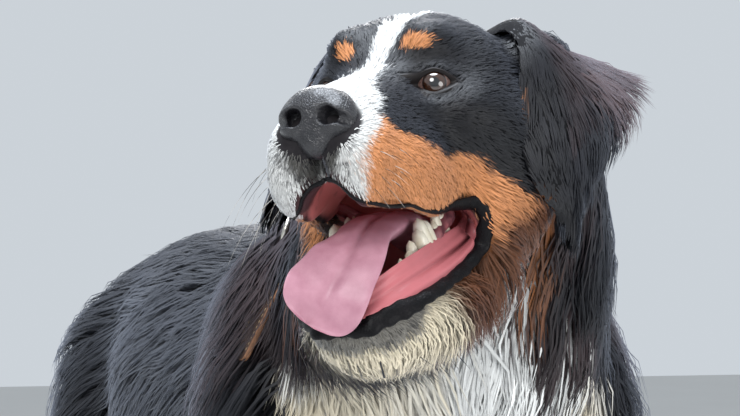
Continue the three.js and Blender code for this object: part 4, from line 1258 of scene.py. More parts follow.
lids = [lid_patch(side) for side in (1, -1)]
skin_points, skin_faces = joined([*skin_parts(), *[lid[:2] for lid in lids]])
lid_share = np.zeros(len(skin_points))
lid_share[-sum(len(lid[0]) for lid in lids):] = np.concatenate([lid[2] for lid in lids])


# Ears: a cupped flap that rises from the skull, folds over and hangs beside the cheek, by its two edges
EARS = {
    "left": {
        "side": 1,
        "front": [(-64, 42, 46), (-66, 56, 50), (-60, 68, 38), (-49, 77, 12),
                  (-42, 81, -16), (-44, 83, -42), (-58, 84, -62), (-92, 85, -76)],
        "rear": [(-104, 40, 42), (-98, 60, 50), (-98, 78, 44), (-110, 94, 33),
                 (-132, 104, 12), (-139, 105, -14), (-127, 97, -44), (-104, 87, -74)],
    },
    "right": {
        "side": -1,
        "front": [(-66, 44, 46), (-60, 70, 42), (-52, 86, 18),
                  (-46, 96, -10), (-46, 102, -32), (-56, 105, -50)],
        "rear": [(-108, 42, 38), (-118, 74, 40), (-130, 94, 12),
                 (-126, 104, -14), (-108, 108, -38), (-72, 107, -53)],
    },
}


EAR_RINGS = 44
EAR_SIDES = 48
EAR_LENGTH = 175


def ear_frame(shape, t):
    """Middle, way down, way to the forward edge, outer face and half width of the flap at shares t."""
    mirror = (1, shape["side"], 1)
    front, ahead = smooth_path(np.array(shape["front"]) * mirror)(t)
    rear, behind = smooth_path(np.array(shape["rear"]) * mirror)(t)
    across = unit(front - rear)
    way = ahead + behind
    way = unit(way - across * (way * across).sum(-1, keepdims=True))
    half = np.linalg.norm(front - rear, axis=-1) / 2
    return (front + rear) / 2, way, across, np.cross(across, way) * shape["side"], half


def ear_place(shape, t, c, face, lift):
    """Places over the flap and the way out of it, in the head's frame; past its edges it runs straight."""
    inner_t, inner_c = np.clip(t, 0, 1), np.clip(c, -1, 1)
    at, way, across, out, half = ear_frame(shape, inner_t)
    high = 2.6 * (1 - 0.6 * inner_c**2) * np.sqrt(1 - inner_c**2) * face - 9 * inner_c**2 + 4.5
    high = high + 1.5 * np.sin(inner_t * 9) * inner_c - 12 * np.abs(c - inner_c)
    place = at + across * ((half - 3) * c)[..., None] + out * high[..., None]
    place = place + way * ((t - inner_t) * EAR_LENGTH)[..., None]
    normal = unit(out + across * (18 * inner_c / half)[..., None]) * face[..., None]
    return place + normal * lift[..., None], normal


def ear_skin(shape):
    """Points and faces of the flap's skin, in the dog's frame."""
    angle = np.linspace(0, 2 * np.pi, EAR_SIDES, endpoint=False)
    t, angle = np.meshgrid(np.linspace(0, 1, EAR_RINGS), angle, indexing="ij")
    face = np.where(np.sin(angle) < 0, -1.0, 1.0)
    places = ear_place(shape, t.ravel(), np.cos(angle).ravel(), face.ravel(), np.zeros(t.size))[0]
    faces = tube_faces(EAR_RINGS, EAR_SIDES, closed=False)
    return from_head(places), faces[:, ::-1] if shape["side"] > 0 else faces


# Coat
def face_areas(points, faces):
    """The area of each four-sided face."""
    a, b, c, d = (points[faces[:, i]] for i in range(4))
    return np.linalg.norm(np.cross(c - a, d - b), axis=1) / 2


def scatter(points, faces, weight, count):
    """Places spread at random over faces, as often as their area and weight say."""
    chance = face_areas(points, faces) * weight
    picked = RNG.choice(len(faces), count, p=chance / chance.sum())
    u, v = RNG.random((2, count, 1))
    a, b, c, d = (points[faces[picked, i]] for i in range(4))
    return (a * (1 - u) + b * u) * (1 - v) + (d * (1 - u) + c * u) * v, picked


def grow(field, root, lie, size, steps):
    """Centre lines of tufts, which are rooted in the skin, lie along it, lift and sag towards the tip."""
    _, out = field(root)
    way = unit(lie - out * (lie * out).sum(1, keepdims=True))
    at = root.copy()
    hug = size["hug"][:, None]
    step = size["long"][:, None] / steps
    line, outs = [root - out * 1.5], [out]
    for i in range(1, steps + 1):
        share = i / steps
        way = unit(way + np.array([0, 0, -1]) * size["sag"][:, None] / steps)
        way = unit(way - out * (way * out).sum(1, keepdims=True) * hug)
        at = at + way * step
        value, slope = field(at)
        at = at - slope * (np.where(value < 0, value, value * hug[:, 0]))[:, None]
        out = unit(out + (slope - out) * np.maximum(hug, 0.3))
        line.append(at + out * size["lift"][:, None] * (1 - (1 - share) ** 2))
        outs.append(out)
    return np.stack(line, 1), np.stack(outs, 1)


def wave(line, outs, amount, length, phase):
    """Bends the centre lines to and fro across their run."""
    run = unit(np.gradient(line, axis=1))
    across = np.cross(run, outs)
    share = np.linspace(0, 1, line.shape[1])[None, :, None]
    far = share * np.linalg.norm(line[:, -1] - line[:, 0], axis=1)[:, None, None]
    swing = np.sin(2 * np.pi * far / length + phase[:, None, None])
    lift = np.sin(2 * np.pi * far / length * 0.8 + phase[:, None, None] * 1.7)
    weight = amount[:, None, None] * np.sqrt(share)
    return line + across * swing * weight + outs * lift * weight * 0.35


def clump(line, spacing, pull, vary):
    """Draws the tips of neighbouring tufts together into locks, each with a tone of its own."""
    count = len(line)
    chosen = RNG.choice(count, max(count // spacing, 1), replace=False)
    tree = KDTree(len(chosen))
    for i in chosen:
        tree.insert(line[i, 0], int(i))
    tree.balance()
    lead = np.array([tree.find(p)[1] for p in line[:, 0]])
    share = np.linspace(0, 1, line.shape[1])[None, :, None] ** 1.3
    tone = np.exp(RNG.normal(0, vary, count))[lead]
    return line + (line[lead] - line) * share * pull, tone


def blades(line, outs, wide, thick, widths):
    """Closed three-sided blades along centre lines, with each point's place on its blade and its normal."""
    count, stations = line.shape[:2]
    rings = stations - 1
    run = unit(np.gradient(line, axis=1))[:, :rings]
    across = unit(np.cross(run, outs[:, :rings]))
    up = np.cross(across, run)
    half = wide[:, None, None] / 2 * np.asarray(widths)[None, :, None]
    top = thick[:, None, None] * np.asarray(widths)[None, :, None]
    middle = line[:, :rings]
    ring = np.stack([middle - across * half, middle + up * top, middle + across * half], 2)
    points = np.concatenate([ring.reshape(count, -1, 3), line[:, -1:]], 1)
    each = rings * 3 + 1
    faces = [(0, 2, 1)]
    for j in range(rings - 1):
        for s in range(3):
            a, b = 3 * j + s, 3 * j + (s + 1) % 3
            faces += [(a, b, b + 3), (a, b + 3, a + 3)]
    last = 3 * (rings - 1)
    faces += [(last + s, last + (s + 1) % 3, each - 1) for s in range(3)]
    faces = (np.arange(count)[:, None, None] * each + np.array(faces)[None]).reshape(-1, 3)
    along = np.append(np.repeat(np.arange(rings) / rings, 3), 1.0)
    side = np.append(np.tile([-1.0, 0.0, 1.0], rings), 0.0)
    skinward = outs[:, :rings] + 0.25 * up
    lean = across * 0.12
    normal = np.stack([skinward - lean, skinward, skinward + lean], 2).reshape(count, -1, 3)
    normal = unit(np.concatenate([normal, outs[:, -1:]], 1))
    return points.reshape(-1, 3), faces, along, side, each, normal.reshape(-1, 3)


def bake_patch(root, chart, each):
    """The OFBake place of each blade point: a small patch at its root's place on the chart."""
    base = chart(root)
    spots = np.stack([np.arange(each) % 2, np.arange(each) / each], 1) * PATCH
    return (base[:, None] + spots[None]).reshape(-1, 2)


def tuft_object(name, line, outs, wide, thick, colour, widths, chart, material, tip=1.08, dark=0.86):
    """One coat piece from its centre lines; dark darkens the roots of its blades as painted shade, where the
    tufts shade each other near the skin, and tip lightens their tips.
    """
    points, faces, along, side, each, normal = blades(line, outs, wide, thick, widths)
    count = len(line)
    # painted shade: each blade is darker towards its root by dark; its tip is made lighter by tip
    shade = dark + (1 - dark) * rise(along, 0.0, 0.5) + (tip - 1) * rise(along, 0.5, 1)
    tone = np.exp(RNG.normal(0, TUFT_VARY, count))
    colours = colour[:, None] * shade[None, :, None] * tone[:, None, None]
    # place across and along the blade for the material's noise, which starts elsewhere on each tuft
    strand = np.empty((count, each, 3))
    strand[..., 0] = side[None] + RNG.random(count)[:, None] * 60
    strand[..., 1] = along[None] * 3 + RNG.random(count)[:, None] * 40
    strand[..., 2] = RNG.random(count)[:, None] * 20
    obj = mesh_object(name, points, faces, colours.reshape(-1, 3), bake_patch(line[:, 0], chart, each),
                      strand.reshape(-1, 3), normals=normal)
    obj.data.materials.append(material)
    return obj


def tuft_pieces(part, parts, tufts, *look, **tone):
    """The coat of one part of the dog in several pieces."""
    groups = np.array_split(np.arange(len(tufts[0])), parts)
    return [tuft_object(f"coat_{part}_{k + 1}", *(values[group] for values in tufts), *look, **tone)
            for k, group in enumerate(groups)]


# Charts: each part of the body has its own rectangle, by the angle round its axis and the place along it
def chart(slot, a, b, up=(0, 0, 1)):
    """The chart of one part along its axis from a to b, in one of 16 slots."""
    a, b = np.array(a, float), np.array(b, float)
    axis = unit(b - a)
    side = unit(np.cross(axis, up))
    over = np.cross(side, axis)
    column, row = slot % 4, slot // 4

    def place(p):
        q = p - a
        angle = np.arctan2(q @ over, q @ side) / (2 * np.pi) + 0.5
        share = np.clip(q @ axis / np.linalg.norm(b - a), -0.15, 1.15) / 1.3 + 0.115
        return np.stack([(column + 0.03 + 0.92 * angle) / 4, (row + 0.03 + 0.92 * share) / 4], 1)

    return place


CHARTS = {
    "head": chart(0, *from_head([(-130, 0, -10), (100, 0, -40)])),
    "neck": chart(1, NECK_FOOT, NECK_HEAD),
    "torso": chart(2, (0, -350, 470), (0, 370, 500)),
    "tail": chart(3, TAIL_PATH[0], TAIL_PATH[-1], (0, 1, 0)),
    "ear_left": chart(8, *from_head([(-88, 80, 45), (-84, 89, -80)]), (0, 1, 0)),
    "ear_right": chart(9, *from_head([(-88, -80, 45), (-72, -107, -72)]), (0, 1, 0)),
}
for name, side in SIDES.items():
    CHARTS[f"fore_{name}"] = chart(4 + (side < 0), (side * 98, -215, 460), (side * 98, -240, 0), (0, 1, 0))
    CHARTS[f"hind_{name}"] = chart(6 + (side < 0), (side * 98, 250, 520), (side * 96, 370, 0), (0, 1, 0))

body_field = Field(body_flesh, *BODY_FIELD)
head_field_own = Field(head_total, *HEAD_FIELD)


def head_field(p):
    """The head's finer field, in the dog's frame."""
    value, out = head_field_own(to_head(p))
    return value, out @ HEAD.T


def label(p):
    """The name of the part that each place belongs to."""
    values = np.stack([form(p) for form in PARTS.values()])
    return np.array(list(PARTS))[values.argmin(0)]


coat_short = coat_material("coat_short", 0.4, 0.22, 0.3)
coat_long = coat_material("coat_long", 0.4, 0.22, 0.34)

centres = face_centres(skin_points, skin_faces)
names = label(centres)
head_q = to_head(centres)
wet_inside, lip_near = mouth_wet(centres)
head_zone = zone_of_head(centres)


def spread(low, high, count, bias=1.0):
    """Random values between two limits."""
    return low + (high - low) * RNG.random(count) ** bias


def eye_distance(q):
    """How far places are from the nearer eye's axis, counted across it."""
    best = np.full(len(q), 1e3)
    for side in (1, -1):
        away = q - eye_centre(side)
        axis = eye_axis(side)
        depth = away @ axis
        flat = away - depth[:, None] * axis
        across = np.hypot(flat[:, 2] * 1.5, np.linalg.norm(flat[:, :2], axis=1))
        best = np.minimum(best, across + (depth < 0) * 40)
    return best


def jaw_share(jaw, q):
    """How far places belong to the lower jaw, from their places in the jaw's and the head's frame."""
    return rise(-(jaw_full(jaw) - 8), 0, 4) * rise(head_full(q), -4, 4)


def face_lie(q):
    """The lie of the short hair, in the head's frame."""
    x, side, z = q.T
    sign = np.sign(side)
    lie = np.stack([-np.ones_like(x), 0.15 * sign, np.zeros_like(x)], 1)
    lie[:, 2] += 0.5 * rise(z, 5, 30) * rise(x, -60, -10)
    lie[:, 1] += 0.35 * sign * rise(z, 10, 40)
    lie[:, 2] -= 0.7 * rise(-z, 20, 70) * rise(x, -60, 10)
    lie[:, 2] -= 0.9 * rise(-x, 30, 90) * rise(-z, -10, 40)
    lie[:, 2] -= 0.4 * rise(-x, 60, 110)
    jaw = in_jaw(q)
    on_jaw = jaw_share(jaw, q)
    below = rise(-jaw[:, 2], 8, 26)
    down = np.stack([-0.75 + 0.2 * below, 0 * x, -0.25 - 0.6 * below], 1)
    return lie + (down - lie) * on_jaw[:, None]


def head_coat():
    """Short hair of the face, longer towards the cheeks, the crown and the throat."""
    eye = eye_distance(head_q)
    nose_away = np.linalg.norm((head_q - (NOSE[0] - 4, 0, NOSE[2])) / (1, 1.25, 1), axis=1)
    lower = head_q[:, 2] + 0.85 * head_q[:, 0] < -40
    lid = lid_share[skin_faces].max(1)
    bare = (lid > 0.75) | (nose_away < 22) | (wet_inside > 0.3) | ((lip_near > 0.6) & lower)
    bare |= (mouth_hollow(head_q) < 6) & (head_zone > 0)
    keep = (head_zone > -6) & ~bare
    small = rise(head_q[:, 0], -70, 20)
    weight = keep * (1 + 2.0 * small + 2.5 * rise(36 - eye, 0, 20))
    total = HEAD_TUFTS
    root, _ = scatter(skin_points, skin_faces, weight, total)
    q = to_head(root)
    cheek = rise(-q[:, 0], 20, 95)
    jaw = in_jaw(q)
    on_jaw = jaw_share(jaw, q)
    throat = np.maximum(rise(-q[:, 2], 84, 110) * rise(-q[:, 0], 20, 55), on_jaw * rise(-jaw[:, 2], 6, 24))
    jaw_hair = rise(-q[:, 2] - 0.85 * q[:, 0], 30, 60) * (1 - throat)
    low_cheek = cheek * rise(-q[:, 2], 30, 80)
    long = 6 + 5 * rise(-q[:, 0], -60, 20) + (9 * cheek + 12 * low_cheek) * (1 - jaw_hair) + 26 * throat
    near_eye = rise(32 - eye_distance(q), 0, 18)
    long *= 1 - 0.55 * near_eye
    long *= spread(0.75, 1.25, total)
    lie = face_lie(q) + 0.16 * noise_ways(q, 18, (21, 22, 23))
    lie += RNG.normal(0, 0.06, lie.shape)
    lie = lie @ HEAD.T
    lift = 0.8 + 0.8 * rise(-q[:, 0], -60, 40) + 3 * cheek * rise(-q[:, 2], 0, 50) + 5 * throat
    lift += 5 * rise(-q[:, 2], 74, 100) * rise(-q[:, 0], -20, 20)
    # fuller hair on the right cheek, which shows past the open mouth
    far_cheek = rise(-q[:, 1], 20, 40) * rise(-q[:, 2], 50, 76)
    far_cheek = far_cheek * rise(-q[:, 0], -20, 5) * rise(q[:, 0], -110, -80)
    long += 14 * far_cheek
    lift += 13 * far_cheek
    size = {"long": long, "lift": lift * spread(0.5, 1.3, total), "hug": 0.85 - 0.6 * throat,
            "sag": 0.1 + 0.6 * throat}
    line, outs = grow(head_field, root, lie, size, 2)
    line[:, 1:] += RNG.normal(0, 1.0, line[:, 1:].shape) * (long * 0.05)[:, None, None]
    line, tone = clump(line, 6, 0.25, 0.06)
    wide = 0.75 + 0.35 * cheek + 0.6 * throat - 0.2 * near_eye
    colour = coat_colour(line[:, 1] + RNG.normal(0, 1.2, root.shape)) * tone[:, None]
    tufts = line, outs, wide, wide * 0.3, colour
    # dark sets the painted shade at the roots of the blades
    return tuft_pieces("head", HEAD_PIECES, tufts, (0.8, 1.0), CHARTS["head"], coat_short, dark=0.9)


def part_lie(p, names_at):
    """The lie of the long coat on neck, torso, legs and tail, in the dog's frame."""
    x, y, z = p.T
    side = np.sign(x)
    low = rise(570 - z, 0, 160)
    lie = np.stack([0.1 * side, np.ones_like(x), -0.15 - 0.9 * low], 1)
    neck = names_at == "neck"
    down = unit(NECK_FOOT - NECK_HEAD)
    neck_lie = np.stack([0.25 * side, np.full_like(x, down[1] * 0.8), np.full_like(x, down[2])], 1)
    front = rise(-y, 255, 330)[:, None]
    neck_lie = neck_lie + (np.stack([0.05 * side, 0.0 * x, -np.ones_like(x)], 1) - neck_lie) * front
    lie[neck] = neck_lie[neck]
    chest = (names_at == "torso") & (y < -240)
    lie[chest] = np.stack([0.1 * side, np.full_like(x, 0.25), -np.ones_like(x)], 1)[chest]
    fore = np.char.startswith(names_at, "fore")
    hind = np.char.startswith(names_at, "hind")
    lie[fore] = (0, 0.25, -1)
    lie[hind] = (0, 0.45, -1)
    lie[(fore | hind) & (z < 60)] = (0, -1, -0.5)
    tail = names_at == "tail"
    _, run = smooth_path(TAIL_PATH)(np.clip((575 - z) / 370, 0, 1))
    out = np.stack([x, y - 420, 0 * z], 1) / 60
    lie[tail] = (run + 0.35 * out)[tail]
    return lie


# The long coat of each part: number, length, width and lift of its tufts, how they hug the skin, sag and
# wave, and how many join in a clump and in a lock
LONG_COAT = {
    "torso": dict(count=18500, long=(60, 92), wide=2.3, lift=(2, 15), hug=0.9, sag=0.35, wavy=3.0,
                  steps=3, clump=8, pull=0.45, lock=70, lock_pull=0.35),
    "neck": dict(count=15000, long=(66, 104), wide=2.8, lift=(6, 16), hug=0.85, sag=0.4, wavy=6.5,
                 steps=4, clump=10, pull=0.25, lock=90, lock_pull=0.4),
    "fore": dict(count=5000, long=(14, 24), wide=1.7, lift=(1, 4), hug=0.9, sag=0.2, wavy=0.6,
                 steps=3, clump=5, pull=0.3, lock=30, lock_pull=0.1),
    "hind": dict(count=5500, long=(24, 46), wide=2.1, lift=(2, 9), hug=0.85, sag=0.3, wavy=1.4,
                 steps=3, clump=6, pull=0.35, lock=40, lock_pull=0.2),
    "tail": dict(count=2800, long=(80, 130), wide=2.6, lift=(10, 26), hug=0.35, sag=0.35, wavy=4.5,
                 steps=4, clump=8, pull=0.5, lock=60, lock_pull=0.3),
}
# Lowest place of a tuft's centre line over the ground
CLEAR = 1.5


def chart_of(part):
    """A part's chart; for the legs that of the left or the right one, by the side of each place."""
    if part in CHARTS:
        return CHARTS[part]
    return lambda p: np.where(p[:, :1] > 0, CHARTS[f"{part}_left"](p), CHARTS[f"{part}_right"](p))


def body_coat():
    """The long coat, part by part."""
    pieces = []
    for part, plan in LONG_COAT.items():
        member = np.char.startswith(names, part) & (head_zone < 4) & (centres[:, 2] > 2)
        count = plan["count"] // BODY_SHARE
        root, picked = scatter(skin_points, skin_faces, member.astype(float), count)
        long = spread(*plan["long"], count)
        lift = spread(*plan["lift"], count, 0.8)
        wide = np.full(count, plan["wide"]) * spread(0.7, 1.25, count)
        hug, sag = np.full(count, plan["hug"]), np.full(count, plan["sag"])
        x, y, z = root.T
        if part in ("fore", "hind"):
            foot = rise(110 - z, 0, 60)
            feather = rise(body_field(root)[1][:, 1], 0.1, 0.7) * rise(z, 150, 210)
            long = long * (1 - 0.6 * foot) * (1 + (1.9 if part == "fore" else 1.7) * feather)
            lift = lift * (1 - 0.75 * foot) * (1 + 1.6 * feather)
            wide = wide * (1 - 0.45 * foot)
            hug = hug - 0.55 * feather
        if part == "neck":
            ruff = rise(np.abs(x - 6), 36, 80) * rise(z, 440, 500)
            ruff = ruff * (1 - rise(-x, 60, 84) * rise(z, 510, 540))
            over_collar = rise(-y, 250, 290) * rise(z, 520, 560) * rise(84 - np.abs(x), 0, 20)
            long = long * (1 + 0.15 * ruff + 0.3 * over_collar)
            lift = lift * (1 + 1.15 * ruff) + 12 * over_collar
            by_strap = rise(-x, 80, 96) * rise(-y, 250, 270) * rise(z, 530, 545)
            long = long * (1 - 0.35 * by_strap)
            lift = lift * (1 - 0.8 * by_strap)
        if part == "torso":
            ruff = rise(-y, 200, 270) * rise(z, 440, 500)
            lift = lift * (1 + 1.7 * ruff)
            top = rise(z, 560, 630)
            long = long * (1 - 0.2 * top)
            lift = lift * (1 - 0.35 * top)
            hug = hug - 0.45 * rise(380 - z, 0, 50)
        lie = part_lie(root, names[picked])
        lie = lie + 0.22 * noise_ways(root, 70, (31, 32, 33)) * np.linalg.norm(lie, axis=1)[:, None]
        lie = lie + RNG.normal(0, 0.07, lie.shape)
        size = dict(long=long, lift=lift, hug=hug, sag=sag)
        line, outs = grow(body_field, root, lie, size, plan["steps"])
        phase = 2.6 * noise(root, 42, 34) + RNG.normal(0, 0.3, count)
        line = wave(line, outs, np.full(count, plan["wavy"]), 64, phase)
        line, tone = clump(line, plan["clump"], plan["pull"], 0.08)
        line, lock_tone = clump(line, plan["lock"], plan["lock_pull"], 0.1)
        line[..., 2] = np.maximum(line[..., 2], CLEAR)
        sampled = line[:, plan["steps"] // 2] + RNG.normal(0, 2.0, root.shape)
        colour = coat_colour(sampled) * (tone * lock_tone)[:, None]
        widths = np.interp(np.linspace(0, 1, plan["steps"]), (0, 0.4, 1), (0.75, 1.0, 0.55))
        each = 1 + (plan["steps"] - 1) * 6 + 3
        parts = -(-count * each // PIECE_TRIANGLES)
        tufts = line, outs, wide, wide * 0.28, colour
        # dark sets the painted shade at the roots of the blades
        pieces += tuft_pieces(part, parts, tufts, widths, chart_of(part), coat_long, dark=0.92)
    return pieces


def ear_coat(name, shape):
    """Silky hair over the flap: short and smooth at its forward edge, long and swept back behind it."""
    count, steps = EAR_TUFTS, 4
    t = RNG.random(count) * 0.97 + 0.02
    edge = RNG.uniform(-1, 1, count)
    outer = RNG.random(count) < 0.72
    face = np.where(outer, 1.0, -1.0)
    q = ear_place(shape, t, edge, face, np.zeros(count))[0]
    back = rise(-edge, -0.45, 0.5)
    high = rise(0.75 - t, 0, 0.5)
    long = 12 + 10 * high + back * (16 + 32 * high)
    long *= spread(0.7, 1.25, count) * np.where(outer, 1, 0.7)
    sweep = back * (0.12 + 1.0 * high)
    along = 1 - 0.4 * back * high + 0.1 * noise(q, 24, 41)
    sideways = -sweep + 0.2 * noise(q, 24, 42) * (0.3 + back) + RNG.normal(0, 0.06, count)
    size = long / np.hypot(along, sideways)
    lift = (1.2 + 6.0 * back * rise(-edge, -1, 0.6)) * spread(0.4, 1.4, count)
    half = ear_frame(shape, t)[4]
    line, outs = [], []
    for share in np.linspace(0, 1, steps + 1):
        down = t + along * size * share / EAR_LENGTH
        over = edge + sideways * size * share / half
        rooted = 0.8 * (share == 0)
        place, out = ear_place(shape, down, over, face, lift * (1 - (1 - share) ** 2) - rooted)
        line.append(place)
        outs.append(out)
    line = from_head(np.stack(line, 1).reshape(-1, 3)).reshape(count, -1, 3)
    outs = np.stack(outs, 1) @ HEAD.T
    share = np.linspace(0, 1, steps + 1)[None, :, None]
    line += np.array([0, 0, -1]) * (share**2) * (long * 0.12)[:, None, None] * back[:, None, None]
    line = wave(line, outs, 0.2 + 2.8 * back, 36, 3.0 * noise(line[:, 0], 22, 44))
    line, tone = clump(line, 7, 0.4, 0.06)
    line, lock_tone = clump(line, 45, 0.35, 0.15)
    brown = back * rise(0.62 - t + 0.25 * noise(q, 16, 45), 0, 0.35)
    colour = lay(np.tile(BLACK * 1.3, (count, 1)), EAR_BROWN, brown * 0.9)
    spot = rise(edge, 0.84, 0.94) * rise(0.035 - np.abs(t - 0.4), 0, 0.02) * outer
    colour = lay(colour, RUST * 0.5, spot) * (tone * lock_tone)[:, None]
    wide = (1.2 + 0.6 * back) * spread(0.7, 1.25, count)
    return tuft_object(f"coat_{name}", line, outs, wide, wide * 0.28, colour, (0.75, 1, 0.9, 0.55),
                       CHARTS[name], coat_long, tip=1.3)


# Collar, its buckle and the strap's loose end, as the solids have them
COLLAR = {"width": 25, "thick": 4, "at": 0.47, "sunk": 11, "more_in_front": 5, "reach": (20, 220)}
STRAP_PATH = [(-105, -301, 606), (-116, -305, 592), (-124, -303, 576), (-130, -297, 560), (-136, -289, 543)]
STRAP_FACE = (-0.95, -0.15, 0.52)
BUCKLE = {"turn": 0.3, "wide": 36, "long": 30, "bar": 4.5, "pin": 3}
neck_way = unit(NECK_HEAD - NECK_FOOT)
neck_side = unit(np.cross(neck_way, (0, 1, 0)))
neck_up = np.cross(neck_side, neck_way)
collar_centre = NECK_FOOT + (NECK_HEAD - NECK_FOOT) * COLLAR["at"]


def round_section(wide, low, high, edge=1.1):
    """A flat section with rounded edges, as places across and through the leather."""
    corners = [(wide / 2 - edge, high - edge, 0), (-wide / 2 + edge, high - edge, 90),
               (-wide / 2 + edge, low + edge, 180), (wide / 2 - edge, low + edge, 270)]
    spots = []
    for u, v, start in corners:
        for degrees in (0, 30, 60, 90):
            a = math.radians(start + degrees)
            spots.append((u + edge * math.cos(a), v + edge * math.sin(a)))
    return np.array(spots)


def collar_band():
    """The band round the neck, sunk into the coat and a little deeper in front."""
    steps = 200
    angle = np.linspace(0, 2 * np.pi, steps, endpoint=False)
    ways = neck_side * np.cos(angle)[:, None] + neck_up * np.sin(angle)[:, None]
    reach = cast_out(neck_core, collar_centre, ways, *COLLAR["reach"]) - COLLAR["sunk"]
    reach -= COLLAR["more_in_front"] * rise(-ways[:, 1], 0.1, 0.6)
    section = round_section(COLLAR["width"], -3, COLLAR["thick"])
    rings = (
        collar_centre
        + neck_way * section[None, :, :1]
        + ways[:, None] * (reach[:, None, None] + section[None, :, 1:])
    )
    return rings.reshape(-1, 3), triangles(tube_faces(steps, len(section))[:, ::-1])


def strap_frame(t):
    """Place, run, way across and face of the loose end at shares t."""
    at, run = smooth_path(STRAP_PATH)(t)
    across = unit(np.cross(run, STRAP_FACE))
    return at, run, across, np.cross(across, run)


def strap_end():
    """The loose end with its rounded tip; its points near the edges are marked for a painted highlight,
    paler than the leather.
    """
    t = np.linspace(0, 1, 60)
    at, _, across, out = strap_frame(t)
    section = round_section(COLLAR["width"], -COLLAR["thick"] / 2, COLLAR["thick"] / 2)
    narrow = np.sqrt(np.clip(1 - np.maximum((t - 0.86) / 0.14, 0) ** 2.2, 0.02, 1))[:, None, None]
    rings = at[:, None] + across[:, None] * section[None, :, :1] * narrow
    rings = rings + out[:, None] * section[None, :, 1:]
    points, faces = capped(rings[:, ::-1])
    # painted highlight: the points along the strap's two edges are marked to be paler
    edge = np.abs(section[::-1, 0]) > COLLAR["width"] / 2 - 1.0
    highlit = np.append(np.tile(edge, len(t)), (True, True))
    return points, faces, highlit


def stitches():
    """Two rows of thread along the loose end."""
    pieces = []
    for t in np.linspace(0.06, 0.84, 15):
        at, run, across, out = strap_frame(np.array([t]))
        for row in (-1, 1):
            middle = at + across * row * (COLLAR["width"] / 2 - 3.2) + out * COLLAR["thick"] / 2
            share = np.linspace(-1, 1, 5)[:, None]
            line = middle + run * share * 1.5 - out * 0.5 * share**2
            size = np.full(5, 0.42)
            pieces.append(rod(line, np.repeat(across, 5, 0), np.repeat(out, 5, 0), size, size, 6))
    return joined(pieces)


def buckle_points():
    """The buckle's round-cornered frame and its prong."""
    way = neck_side * math.cos(BUCKLE["turn"]) + neck_up * math.sin(BUCKLE["turn"])
    along = unit(np.cross(neck_way, way))
    reach = cast_out(neck_core, collar_centre, way[None], *COLLAR["reach"])[0]
    middle = collar_centre + way * (reach + COLLAR["thick"] + 2.3)
    steps, sides = 72, 12
    angle = np.linspace(0, 2 * np.pi, steps, endpoint=False)
    c, s = np.cos(angle), np.sin(angle)
    bar = BUCKLE["bar"]
    half = (BUCKLE["wide"] - bar) / 2, (BUCKLE["long"] - bar) / 2
    u = half[0] * np.sign(c) * np.abs(c) ** 0.45
    v = half[1] * np.sign(s) * np.abs(s) ** 0.45
    line = middle + neck_way * u[:, None] + along * v[:, None]
    side = np.cross(unit(np.roll(line, -1, 0) - np.roll(line, 1, 0)), way)
    wide, thick = np.full(steps, bar / 2), np.full(steps, 2.0)
    rings = oval_rings(line, side, np.tile(way, (steps, 1)), wide, thick, sides)
    frame_piece = rings.reshape(-1, 3), triangles(tube_faces(steps, sides))
    t = np.linspace(-1, 1, 16)
    line = middle + along * (t * half[1])[:, None] + way * (0.6 * (1 - t**2))[:, None]
    thin = BUCKLE["pin"] / 2 * (1 - 0.3 * rise(t, 0.2, 1))
    prong = rod(line, np.tile(neck_way, (16, 1)), np.tile(way, (16, 1)), thin, thin, 10)
    return joined([frame_piece, prong])


# Claws and whiskers
def claw_points():
    """A bent claw on each toe."""
    pieces = []
    t = np.linspace(0, 1, 12)
    for side in (1, -1):
        for (x, y), half in ((FRONT_PAW, FRONT_PAW_HALF), (HIND_PAW, HIND_PAW_HALF)):
            for toe in TOES:
                foot = np.array([side * x + toe * half * 0.56, y - 49 + abs(toe) * 12, 19.0])
                bend = np.stack([toe * 1.5 * t, -15 * np.sin(1.3 * t), -2 * t - 9.5 * t**2], 1)
                size = 3.9 * np.sqrt(1 - 0.96 * t**1.6)
                pieces.append(bent_rod(foot + bend, (0, 0, 1.0), size * 0.75, size, 12))
    return joined(pieces)


# Lengths of the whiskers on the left and the right of the muzzle
WHISKER_LONG = {1: 12, -1: 42}


def whisker_lines():
    """The curves of the whiskers on the muzzle, in the head's frame."""
    roots, ways, longs = [], [], []
    for side, long in WHISKER_LONG.items():
        for z in (-58, -66, -74, -82):
            for x in (58, 67, 76):
                roots.append((x + 2 * (z % 3), side * 40, z))
                ways.append((-0.25, side * 0.8, -0.5 + (z + 70) * 0.02))
                longs.append(long)
    roots = np.array(roots, float) + RNG.normal(0, 1.5, (len(roots), 3))
    for _ in range(6):
        roots = settle(head_flesh, roots)
    ways = unit(np.array(ways) + RNG.normal(0, 0.14, (len(roots), 3)))
    longs = np.array(longs) * RNG.uniform(0.75, 1.25, len(roots))
    t = np.linspace(0, 1, 9)[None, :, None]
    droop = np.array([-0.25, 0, -0.3])
    return roots[:, None] + (ways[:, None] * t + droop * t**2) * longs[:, None, None]


def whisker_points():
    """Thin rods that taper towards their tips."""
    pieces = []
    for line in whisker_lines():
        size = np.linspace(0.2, 0.04, len(line))
        pieces.append(bent_rod(line, (0.1, 0.2, 1.0), size, size, 5))
    return joined(pieces)


# Materials of the small pieces
def nose_material():
    s = Shader("nose_leather", Roughness=0.3, Specular_IOR_Level=0.45, Coat_Weight=0.35,
               Coat_Roughness=0.25)
    place = s.place()
    pebbles = s.node("TexVoronoi", {"Vector": place, "Scale": 640.0}, feature="DISTANCE_TO_EDGE")
    tone = s.noise(120, 3.0, place)
    s.set(Base_Color=s.mix(tone, (0.006, 0.006, 0.008, 1), (0.022, 0.021, 0.025, 1)))
    s.bump(s.remap(pebbles.outputs["Distance"], 0.0, 0.22), 0.55, 0.0005)
    return s.material


